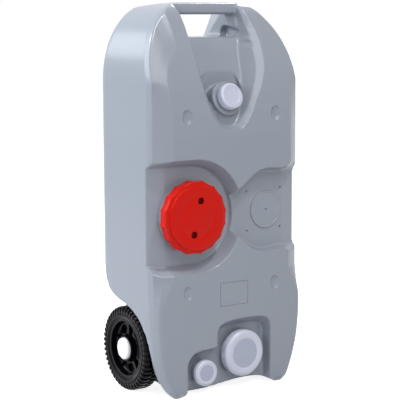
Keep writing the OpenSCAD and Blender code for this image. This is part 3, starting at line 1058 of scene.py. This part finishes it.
    def lid_pit(self) -> Solid:
        """Makes the tool of the recess round the filler lid.

        Returns:
            The closed tool, whose floor falls away to the side.
        """
        h, x, z, r = self.half, 90.3 - self.half, FILLER[1], 75.5 + 39
        arc = [(math.cos(math.radians(a)), math.sin(math.radians(a))) for a in range(90, -91, -6)]
        pad = [(-h - 70, z + 162), (-h, z + 128), (x - 50, z + 114)] + [
            (x + (r + 10 * max(0.0, -s) * c) * c, z + (r + 10 * max(0.0, -s) * c) * s) for c, s in arc] + [
            (x - 50, z - 115), (-h, z - 125), (-h - 70, z - 142)]
        deep = [(-h - 70, z + 87), (-h, z + 87.5), (x - 50, z + 88)] + [
            (x + (r - 26 - 8 * max(0.0, -s)) * c, z + (r - 26 - 8 * max(0.0, -s)) * s) for c, s in arc] + [
            (x - 50, z - 81), (-h, z - 84), (-h - 70, z - 82)]
        floor = [(-h - 90, -60), (-h - 90, self.lid_recess + 37), (-h, self.lid_recess + 13),
                 (x - 55, self.lid_recess), (x + 200, self.lid_recess), (x + 200, -60)]
        return self.pit(pad, deep, 60, floor, 2)

    def boss_pit(self) -> Solid:
        """Makes the tool of the blind recess on the other side.

        Returns:
            The closed tool, whose floor falls away to the side.
        """
        h = self.half
        pad = [(0, 412), (20, 421), (42, 439), (56, 449), (71, 456), (h - 43, 459), (h, 484), (h + 70, 520),
               (h + 70, 230), (h, 262), (h - 43, 285.5), (71, 286), (56, 291), (42, 300), (20, 320), (0, 330)]
        deep = [(6, 398), (26, 407), (47, 424), (61, 434), (74, 440), (h - 43, 441), (h, 438), (h + 70, 434),
                (h + 70, 301), (h, 299.5), (h - 43, 298.5), (74, 299), (61, 307), (47, 316), (26, 334), (6, 343)]
        floor = [(-60, -60), (-60, self.boss_recess), (h - 43, self.boss_recess), (h, self.boss_recess + 15),
                 (h + 90, self.boss_recess + 46), (h + 90, -60)]
        sharp = frozenset({7, 8})
        return self.pit(spline(pad, 4, sharp), spline(deep, 4, sharp), 40, floor, 2)

    def drain_pit(self) -> Solid:
        """Makes the tool of the recess round the two drain caps.

        Returns:
            The closed tool, open to the ground.
        """
        pad = [(-111, -40), (-111, 66), (-106, 78), (-95, 89), (-80, 94), (-62, 95.5), (-37, 96.5), (-37, 124),
               (-34, 134), (-26, 142), (-12, 147), (4, 149), (51, 150), (80, 147), (92, 142), (98, 132), (99, 120),
               (99, -40)]
        deep = [(-110, -40), (-110, 60), (-104, 70), (-94, 77), (-80, 81), (-62, 82.5), (-36, 83.5), (-36, 112),
                (-32, 121), (-24, 127), (-12, 131), (4, 133), (51, 134), (76, 132), (88, 127), (94, 118), (95, 108),
                (95, -40)]
        sharp = frozenset({1, 6, 16})
        return self.pit(spline(pad, 3, sharp), spline(deep, 3, sharp), self.drain_recess, None, 3)

    def arch(self, side: Side) -> Solid:
        """Makes the tool of the space for one wheel.

        Args:
            side: The side that it is for.

        Returns:
            The closed tool.
        """
        gaps = [(216, 49.8), (213.3, 35.8), (204.5, 15.8), (180, 5), (158.5, 4.9), (143.6, 4.8), (129.6, 5.4),
                (113.3, 6.7), (98.6, 9.1), (79.4, 17.8), (68.4, 35.7), (64.6, 60.3), (65.7, 95.3)]
        curve = [(AXLE[0] + (TYRE_RADIUS + g) * math.cos(math.radians(a)),
                  AXLE[1] + (TYRE_RADIUS + g) * math.sin(math.radians(a))) for a, g in gaps]
        line = [(16, -40), (16, 0), *spline(curve, 4), (self.depth + 18, AXLE[1] + 174),
                (self.depth + 18, -40)]
        return prism(line, Axis.X, *sorted((side.value * self.arch_x, side.value * (self.half + 77))))

    def foot_gap(self) -> Solid:
        """Makes the tool of the low arch between the two feet.

        Returns:
            The closed tool.
        """
        h = self.half
        line = spline([(59 - h, 0), (71 - h, 3.5), (80 - h, 6), (-72, 6.5), (-38, 8.5), (-5, 12), (36, 15.5),
                       (62, 15.5), (h - 88, 11), (h - 65, 0)], 3)
        return prism([(59 - h, -20), *line, (h - 65, -20)], Axis.Y, -40, self.depth + 60)

    def marks(self) -> list[Solid]:
        """Makes the tools of the label frame and of the pinholes in and round the boss.

        Returns:
            The closed tools.
        """
        x0, x1, z0, z1, wide, deep = -30.5, 39.5, 180, 229, 1.1, 0.5
        tools = [block((x0, -2, z), (x1, deep, z + wide)) for z in (z0, z1 - wide)]
        tools += [block((x, -2, z0), (x + wide, deep, z1)) for x in (x0, x1 - wide)]
        floor, hole = self.boss_recess, 2.6
        tools += [ball(hole, (x, floor + 1.0, z)) for x, z in ((50, 411), (138, 413.5), (51, 328), (138, 330.5))]
        tools.append(ball(hole, (99.3, floor - 1.0, BOSS[1])))
        return tools

    def hollow(self) -> Solid:
        """Makes the space inside, with the four bores that lead to it.

        Returns:
            The closed tool.
        """
        rooms = [((-145, 36, 262), (165, 211, 560)), ((-148, 80, 540), (148, 211, 706)),
                 ((-126, 34, 92), (126, 178, 300)), ((-126, 34, 34), (126, 116, 110))]
        first, *rest = [block(a, b) for a, b in rooms]
        room = softened(carved(first, Carving.ADD, *rest), voxel=7.0, passes=2)
        bores = [moved(cylinder(r, -60, 12), at_front(spot))
                 for spot, r in ((FILLER, 60.1), (DRAIN_LARGE, 38.8), (DRAIN_SMALL, 17.3))]
        bores.append(moved(cylinder(17.3, -110, -3), pour_frame()))
        return carved(room, Carving.ADD, *bores)

    def skin(self) -> Solid:
        """Carves the whole tank.

        Returns:
            The closed skin with its inner space.
        """
        body = carved(self.blank(), Carving.KEEP, self.side_profile())
        pocket = moved(cylinder(self.pocket_radius, -self.pocket_y, 20), at_front((0, self.pocket_z)))
        body = carved(body, Carving.CUT, self.valley(), self.flare(Side.RIGHT), self.flare(Side.LEFT),
                      softened(pocket, voxel=2.5, passes=5), self.thumb_scoop(), self.lid_pit(), self.boss_pit(),
                      self.drain_pit(), self.foot_gap(), self.arch(Side.RIGHT), self.arch(Side.LEFT))
        collar = lathe(rounded([(0, -66), (35.5, -66), (35.5, -20), (0, -20)], 1.5))
        body = softened(carved(body, Carving.ADD, moved(collar, pour_frame())), self.voxel, 2, self.kept_facets)
        boss = moved(lathe(rounded([(0, -6), (38.5, -6), (38.5, 2.4), (36.8, 2.4), (35.6, 1.4), (0, 1.4)], 0.6), 128),
                     at_front(BOSS, self.boss_recess))
        dimples = [self.dimple(x, z) for x in (-109.5, 109.5) for z in (217, 573)]
        body = carved(body, Carving.ADD, boss)
        return carved(body, Carving.CUT, *dimples, *self.marks(), self.hollow())

    def build(self) -> None:
        """Makes the skin and the four necks."""
        finished("tank_skin", self.skin(), TANK_GREY, "tank", "tank_body", crease=30.0)
        for neck in NECKS:
            neck.build()


@dataclass
class Neck:
    """A threaded neck of the tank.

    Its depths end and root, of the mouth and the foot, count from its place backwards.
    """

    name: str
    place: Matrix
    outer: float
    bore: float
    end: float
    root: float
    pitch: float
    turns: float

    def build(self) -> None:
        """Turns the tube and winds its thread."""
        r, b = self.outer / 2, self.bore / 2
        profile = rounded([(b, -self.root), (r, -self.root), (r, -self.end), (b, -self.end)], 1.2)
        tube = lathe([*profile, (b, -self.end - 2)], closed=True)
        ridge = helix(r, rise=1.0, width=2.6, pitch=-self.pitch, turns=self.turns, start=-self.end - 2.4)
        finished(self.name, merged(tube, ridge), TANK_GREY, "tank", "tank_body", self.place)


NECKS = [
    Neck("filler_neck", at_front(FILLER), outer=134.2, bore=120.2, end=0.2, root=36.0, pitch=6.0, turns=1.9),
    Neck("drain_neck_large", at_front(DRAIN_LARGE), outer=86.6, bore=77.6, end=3.2, root=33.0, pitch=5.0, turns=2.2),
    Neck("drain_neck_small", at_front(DRAIN_SMALL), outer=43.6, bore=34.6, end=1.2, root=33.0, pitch=4.0, turns=1.2),
    Neck("pour_neck", pour_frame(), outer=43.6, bore=34.6, end=6.2, root=66.0, pitch=4.0, turns=2.2),
]


# Lids


@dataclass
class FillerLid:
    """The wide red lid with its grip corners, raised disc and two spanner pits."""

    diameter: float = 151.0
    skirt: float = 21.0
    disc_rise: float = 5.0
    corners: int = 16
    dip: float = 1.7
    rib: float = 1.2
    rib_share: float = 0.16
    turn: float = math.radians(8.4)
    pit_turn: float = math.radians(-13.6)
    pit_spread: float = 34.8
    # How far round and how deep in each pit the painted shade reaches.
    pit_shade_reach: float = 8.0
    pit_shade_depth: float = 7.5
    room: float = 137.0

    def radius(self, angle: float, back: float) -> float:
        """Gives the skirt's radius at an angle.

        Args:
            angle: The angle from the lid's X.
            back: How far the ring lies inside the full outline.

        Returns:
            The radius, largest at the corners, which carry a narrow rib.
        """
        wave = abs(math.sin((angle - self.turn) * self.corners / 2))
        rib = self.rib * math.exp(-((wave / self.rib_share) ** 2))
        return self.diameter / 2 - self.rib - self.dip * wave + rib - back

    def shell(self) -> Solid:
        """Lofts the lid from the roof of its room over the skirt to the middle of its face.

        Returns:
            The closed shell, whose room opens below.
        """
        h, r = self.skirt, self.diameter / 2
        full = [(0.0, 0.6), (0.8, 0.0), (h - 3.0, 0.0), (h - 1.2, 0.5), (h - 0.2, 1.9)]
        plain = [(h, r - 5.2), (h, r - 8.2), (h + 0.7, r - 9.3), (h + 3.9, r - 10.0), (h + 4.8, r - 11.2),
                 (h + 5.0, r - 13.0), (h + 5.0, 41.5), (h + 4.75, 40.6), (h + 4.75, 39.4), (h + 5.0, 38.5),
                 (h + 5.0, 8.0)]
        inner = [(0.0, self.room / 2 + 0.8), (0.8, self.room / 2), (h - 3.2, self.room / 2), (h - 3.2, 8.0)]
        angles = circle(self.corners * 16)
        rings = [[(r, z) for _ in angles] for z, r in reversed(inner)]
        rings += [[(self.radius(a, back), z) for a in angles] for z, back in full]
        rings += [[(r, z) for _ in angles] for z, r in plain]
        return round_loft(rings)

    def build(self) -> None:
        """Makes the lid with its pits, whose deep faces carry painted shade, and its inner thread."""
        face = self.skirt + self.disc_rise
        turn = Matrix.Rotation(self.pit_turn, 4, "Z")
        pit = [(0, -7.0), (6.2, -7.0), (6.7, -6.4), (7.0, -0.8), (7.5, 0.0), (7.5, 3.0), (0, 3.0)]
        pits = [moved(lathe(pit, 40), turn @ Matrix.Translation((0, s * self.pit_spread, face))) for s in (-1, 1)]
        body = carved(self.shell(), Carving.CUT, *pits)
        # Painted shade: the faces deep in each pit get the darker red finish.
        for shade_face in body.faces:
            spot = shade_face.calc_center_median()
            near = abs(spot.xy.length - self.pit_spread) < self.pit_shade_reach
            if near and face - self.pit_shade_depth < spot.z < face - 0.4:
                shade_face.material_index = 1
        ridge = helix(self.room / 2, rise=-1.0, width=2.6, pitch=6.0, turns=1.4, start=4.0)
        finished("filler_lid_cover", merged(body, ridge), LID_RED, "filler", "filler_lid",
                 at_front(FILLER, self.skirt - 6), other=PIT_SHADE_RED)


@dataclass
class ScrewCap:
    """A milky screw cap with a fine-ribbed skirt and a recessed disc.

    The disc's radius is disc_share of the diameter, and its finish ends disc_edge past it.
    """

    name: str
    node: str
    body: str
    place: Matrix
    diameter: float
    skirt: float
    bevel: float
    slope: float
    pitch: float
    turns: float
    ribs: int
    disc_finish: Finish = DISC_WHITE
    wall: float = 3.8
    rib: float = 0.55
    disc_share: float = 0.32
    disc_edge: float = -0.2

    def build(self) -> None:
        """Lofts the cap from the roof of its room to the middle of its face, and winds its inner thread."""
        h, r, room = self.skirt, self.diameter / 2, self.diameter / 2 - self.wall
        disc, steps = self.diameter * self.disc_share, self.ribs * 4
        inner = [(h - 3.2, 3.0), (h - 3.2, room), (0.6, room), (0.0, room + 0.6)]
        skirt = [(0.0, 0.7), (0.7, 0.3), (1.4, 0.0), (h - self.bevel - 1.2, 0.0), (h - self.bevel - 0.5, 0.25)]
        outer = [(h - self.bevel, r - 0.35), (h - self.bevel + 0.7, r - 0.9), (h - 0.9, r - self.slope + 0.8),
                 (h - 0.2, r - self.slope), (h, r - self.slope - 1.0), (h, disc + 1.2), (h - 0.3, disc + 0.4),
                 (h - 0.8, disc - 0.4), (h - 1.0, disc - 1.4), (h - 1.0, disc * 0.7), (h - 1.0, 3.0)]
        rings = [[(radius, z)] * steps for z, radius in inner]
        rings += [[(r - back - (self.rib if k % 4 in (1, 2) else 0.0), z) for k in range(steps)] for z, back in skirt]
        rings += [[(radius, z)] * steps for z, radius in outer]
        shell = round_loft(rings)
        for face in shell.faces:
            spot = face.calc_center_median()
            if spot.z > h - 1.5 and spot.xy.length < disc + self.disc_edge:
                face.material_index = 1
        ridge = helix(room, rise=-1.0, width=2.0, pitch=self.pitch, turns=self.turns, start=3.0)
        finished(self.name, merged(shell, ridge), CAP_WHITE, self.body, self.node,
                 self.place @ Matrix.Translation((0, 0, -h)), other=self.disc_finish)


CAPS = [
    ScrewCap("drain_cap_large_cover", "drain_cap_large", "drain_large", at_front(DRAIN_LARGE, -3), diameter=97.0,
             skirt=21.0, bevel=4.0, slope=4.5, pitch=5.0, turns=2.0, ribs=72),
    ScrewCap("drain_cap_small_cover", "drain_cap_small", "drain_small", at_front(DRAIN_SMALL, -5), diameter=54.0,
             skirt=13.0, bevel=3.0, slope=3.5, pitch=4.0, turns=1.0, ribs=48),
    ScrewCap("pour_cap_cover", "pour_cap", "pour", pour_frame(), diameter=54.0, skirt=18.0, bevel=3.0, slope=3.5,
             pitch=4.0, turns=1.8, ribs=48, disc_finish=DISC_PALE, disc_edge=5.0),
]


# Wheels


@dataclass
class Wheel:
    """One wheel: a lugged tyre, a dished rim and the white cover of its hub."""

    side: Side
    middle: float = 162.0
    tyre_width: float = 41.0
    tread: float = 2.6
    lugs: int = 48
    lug_wide: float = 6.6
    lug_sweep: float = 2.2
    rim_radius: float = 61.0
    bore_radius: float = 6.06
    windows: int = 5
    window_radius: float = 9.6
    window_middle: float = 42.5
    hub_radius: float = 23.0
    hub_scallops: int = 8

    @property
    def name(self) -> str:
        """The side's name in the CAD nodes."""
        return self.side.name.lower()

    def place(self) -> Matrix:
        """Frame of the wheel: its Z looks outwards along the axle."""
        turn = Matrix.Translation((self.middle, *AXLE)) @ Matrix.Rotation(math.pi / 2, 4, "Y")
        return Matrix.Scale(self.side.value, 4, (1, 0, 0)) @ turn

    def tyre(self) -> Solid:
        """Turns the carcass and sets the lugs round it.

        Returns:
            The tyre, one mesh of closed shells.
        """
        w, base = self.tyre_width / 2, TYRE_RADIUS - self.tread
        half = [(base, 0.0), (base - 0.3, w - 10), (base - 2.4, w - 4), (base - 7, w - 1.2), (base - 12, w - 0.9),
                (base - 13, w - 1.6), (base - 14, w - 0.6), (base - 19, w - 0.9), (self.rim_radius + 1.0, w - 3.0),
                (self.rim_radius - 1.6, w - 3.6)]
        line = spline(half, 2, frozenset({5}))
        profile = [(a, -b) for a, b in reversed(line[1:])] + line
        parts = [lathe(profile, 144, closed=True)]
        for k in range(self.lugs):
            for hand in (-1, 1):
                parts.append(self.lug(math.tau * (k + 0.25 * hand) / self.lugs, hand))
        return merged(*parts)

    def lug(self, angle: float, hand: int) -> Solid:
        """Makes one lug that runs from the tread over the shoulder.

        Args:
            angle: Its place round the tyre.
            hand: -1 for the inner side of the tyre, 1 for the outer side.

        Returns:
            The closed lug.
        """
        r, w = TYRE_RADIUS, self.tyre_width / 2
        line = [(r - 4.5, 0.6), (r, 0.9), (r, w - 9.0), (r - 0.9, w - 4.6), (r - 3.4, w - 1.4), (r - 8.0, w - 0.05),
                (r - 14.6, w - 0.05), (r - 15.4, w - 2.2), (r - 7.0, w - 4.0)]
        bm = drawn_out([(a, -self.lug_wide / 2, hand * b) for a, b in line], (0, self.lug_wide, 0))
        for v in bm.verts:
            v.co.y += self.lug_sweep * hand * math.sin(v.co.z / w * 1.2)
            v.co.y *= v.co.x / r
        return moved(eased(closed_up(bm), 0.8), Matrix.Rotation(angle, 4, "Z"))

    def rim(self) -> Solid:
        """Turns the dish with the axle's bore, cuts its blind windows and sets the ribs between them.

        Returns:
            The rim, one mesh of closed shells.
        """
        r, w, hub = self.rim_radius, self.tyre_width / 2 - 3, self.hub_radius
        outside = [(self.bore_radius, w - 3.0), (hub, w - 3.0), (hub, w + 1.0), (hub + 3.2, w + 1.0),
                   (hub + 3.5, w - 3.0), (hub + 5.0, 4.5), (hub + 9.0, 3.0), (r - 11.0, 3.0), (r - 7.0, 5.0),
                   (r - 4.6, w - 1.5), (r - 4.2, w), (r, w)]
        inside = [(r, -w), (r - 4.2, -w), (r - 4.6, -w + 1.5), (r - 5.5, -6.0), (r - 9.0, -4.0), (20.0, -4.0),
                  (17.0, -8.0), (17.0, -20.5), (self.bore_radius, -20.5)]
        body = lathe([*rounded(outside, 1.2, 2), *rounded(inside, 1.2, 2)], 120, closed=True)
        windows, ribs = [], []
        for k in range(self.windows):
            window = cylinder(self.window_radius, -2.8, 20, 40)
            bmesh.ops.scale(window, vec=(1.0, 1.25, 1.0), verts=window.verts)
            turn = Matrix.Rotation(math.tau * k / self.windows, 4, "Z")
            windows.append(moved(window, turn @ Matrix.Translation((self.window_middle, 0, 0))))
            rib = eased(block((27.0, -1.6, 2.0), (55.5, 1.6, 8.5)), 0.9)
            ribs.append(moved(rib, Matrix.Rotation(math.tau * (k + 0.5) / self.windows, 4, "Z")))
        return merged(carved(body, Carving.CUT, *windows), *ribs)

    def cover(self) -> Solid:
        """Makes the white push-in cover with its shallow scallops.

        Returns:
            The closed cover.
        """
        r, low, angles = self.hub_radius, 14.5, circle(96)
        rings = [(low, r - 3.0, 0.0), (low, r - 0.1, 0.0), (low + 5.6, r - 0.1, 0.0), (low + 7.2, r - 0.4, 0.3),
                 (low + 8.8, r - 1.4, 0.8), (low + 9.5, r - 3.2, 1.0), (low + 9.5, r - 6.0, 0.0)]
        return round_loft([[(radius - dip * (1 - math.cos(self.hub_scallops * a)) / 2, z) for a in angles]
                           for z, radius, dip in rings])

    def build(self) -> None:
        """Makes the three pieces of the wheel."""
        for piece, solid, finish, node, crease in (("tyre_lugged_", self.tyre(), TYRE_BLACK, "tyre_", 35.0),
                                                   ("rim_dished_", self.rim(), RIM_BLACK, "wheel_rim_", 35.0),
                                                   ("hub_cover_", self.cover(), HUB_WHITE, "hub_cap_", 40.0)):
            finished(piece + self.name, solid, finish, "wheel_" + self.name, node + self.name, self.place(), crease)


@dataclass
class InnerParts:
    """The CAD nodes that stay as they are and only get their finish, found by a word in their names."""

    finishes: tuple[tuple[str, Finish], ...] = (("seal", SEAL_BLACK), ("axle", AXLE_STEEL),
                                                ("spacer", SPACER_BLACK), ("push_nut", NUT_STEEL))

    def build(self) -> None:
        """Gives seals, axle, spacers and nuts their materials."""
        for name, finish in self.finishes:
            for node in bpy.data.objects:
                if node.type == "MESH" and name in node.name and not node.hide_render:
                    node.data.materials.clear()
                    node.data.materials.append(finish.material())
                    LOG.info("%s keeps its shape, with %s", node.name, finish.name)


# Studio


@dataclass(frozen=True)
class Lamp:
    """A soft square lamp that faces the object's middle line, in metres and watts."""

    name: str
    spot: Spot
    aim_z: float
    size: float
    power: float
    cool: float = 0.0

    def hang(self) -> None:
        """Puts the lamp up; the cooler it is, the further its light leans to blue."""
        data = bpy.data.lights.new(self.name, "AREA")
        data.size, data.energy, data.color = self.size, self.power, (1 - self.cool, 1 - 0.45 * self.cool, 1.0)
        lamp = bpy.data.objects.new(self.name, data)
        lamp.location = self.spot
        aim = Vector((0, 0, self.aim_z))
        lamp.rotation_euler = (aim - Vector(self.spot)).to_track_quat("-Z", "Y").to_euler()
        bpy.context.collection.objects.link(lamp)


LAMPS = [
    Lamp("side", (-2.5, 1.5, 1.7), 0.6, size=1.6, power=39.0, cool=0.08),
    Lamp("sheen", (-1.3, 2.3, 1.7), 0.6, size=0.9, power=9.0, cool=0.1),
    Lamp("wall", (-1.5, 0.9, 2.3), 0.6, size=0.6, power=26.0, cool=0.1),
    Lamp("ledge", (1.57, 1.07, 2.45), 0.4, size=0.3, power=18.0),
    Lamp("crown", (0.15, -1.3, 2.9), 0.4, size=0.3, power=24.0),
    Lamp("edge", (-2.8, -0.9, 1.2), 0.5, size=0.7, power=14.0, cool=0.05),
    Lamp("fill", (-0.5, -2.2, 2.2), 0.5, size=1.6, power=28.0),
]


@dataclass
class Studio:
    """Plain pale floor, soft light and the camera of the picture."""

    focal: float = 125.5
    sensor: float = 36.0
    spot: Spot = (-1.64895, -2.39926, 0.77133)
    yaw: float = math.radians(34.375)
    pitch: float = math.radians(7.507)
    roll: float = math.radians(-0.246)
    floor_half: float = 30.0
    floor_grey: tuple[float, float, float] = (0.60, 0.60, 0.61)
    floor_lift: float = 0.84
    world_light: float = 0.30

    def camera(self) -> None:
        """Sets up the camera at the picture's viewing angle."""
        ca, sa, cp, sp = math.cos(self.yaw), math.sin(self.yaw), math.cos(self.pitch), math.sin(self.pitch)
        right = Vector((ca, -sa, 0.0))
        ahead = Vector((sa * cp, ca * cp, -sp))
        up = right.cross(ahead)
        cr, sr = math.cos(self.roll), math.sin(self.roll)
        x_axis, y_axis = cr * right + sr * up, cr * up - sr * right
        turn = Matrix((x_axis, y_axis, -ahead)).transposed().to_4x4()
        data = bpy.data.cameras.new("camera")
        data.lens, data.sensor_width, data.sensor_fit = self.focal, self.sensor, "HORIZONTAL"
        data.clip_end = 100.0
        camera = bpy.data.objects.new("camera", data)
        camera.matrix_world = Matrix.Translation(self.spot) @ turn
        bpy.context.collection.objects.link(camera)
        bpy.context.scene.camera = camera

    @staticmethod
    def sight(nodes: bpy.types.Nodes, links: bpy.types.NodeLinks) -> bpy.types.NodeSocket:
        """Tells the rays that see, reflect or pass on the background from its light.

        Args:
            nodes: The nodes of a material or of the world.
            links: Their links.

        Returns:
            A value that is 1 for those rays, and 0 for the others.
        """
        path = nodes.new("ShaderNodeLightPath")
        seen = path.outputs["Is Camera Ray"]
        for ray in ("Is Glossy Ray", "Is Transmission Ray"):
            either = nodes.new("ShaderNodeMath")
            either.operation = "MAXIMUM"
            links.new(seen, either.inputs[0])
            links.new(path.outputs[ray], either.inputs[1])
            seen = either.outputs[0]
        return seen

    def floor(self) -> None:
        """Lays the pale floor, white to the camera outside the shadow."""
        bm = bmesh.new()
        bmesh.ops.create_grid(bm, x_segments=1, y_segments=1, size=self.floor_half)
        floor = placed(bm, "floor")
        made = bpy.data.materials.new("floor_pale")
        floor.data.materials.append(made)
        nodes, links = node_tree(made)
        shader = nodes["Principled BSDF"]
        shader.inputs["Base Color"].default_value = (*self.floor_grey, 1.0)
        shader.inputs["Roughness"].default_value = 0.9
        shader.inputs["Emission Color"].default_value = (1.0, 1.0, 1.0, 1.0)
        lift = nodes.new("ShaderNodeMath")
        lift.operation = "MULTIPLY"
        lift.inputs[1].default_value = self.floor_lift
        links.new(self.sight(nodes, links), lift.inputs[0])
        links.new(lift.outputs[0], shader.inputs["Emission Strength"])

    def world(self) -> None:
        """Surrounds the object with even light and a white backdrop."""
        world = bpy.data.worlds.new("studio")
        bpy.context.scene.world = world
        nodes, links = node_tree(world)
        background = nodes["Background"]
        background.inputs["Color"].default_value = (1.0, 1.0, 1.0, 1.0)
        level = nodes.new("ShaderNodeMapRange")
        level.inputs["To Min"].default_value = self.world_light
        level.inputs["To Max"].default_value = 1.0
        links.new(self.sight(nodes, links), level.inputs["Value"])
        links.new(level.outputs["Result"], background.inputs["Strength"])

    def build(self) -> None:
        """Sets up everything round the object."""
        bpy.context.scene.view_settings.view_transform = "Standard"
        self.camera()
        self.floor()
        self.world()
        for lamp in LAMPS:
            lamp.hang()


def main() -> None:
    """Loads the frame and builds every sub-assembly."""
    logging.basicConfig(level=logging.INFO, format="%(message)s", stream=sys.stdout)
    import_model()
    Studio().build()
    Tank().build()
    FillerLid().build()
    for cap in CAPS:
        cap.build()
    for side in Side:
        Wheel(side).build()
    InnerParts().build()


if __name__ == "__main__":
    main()
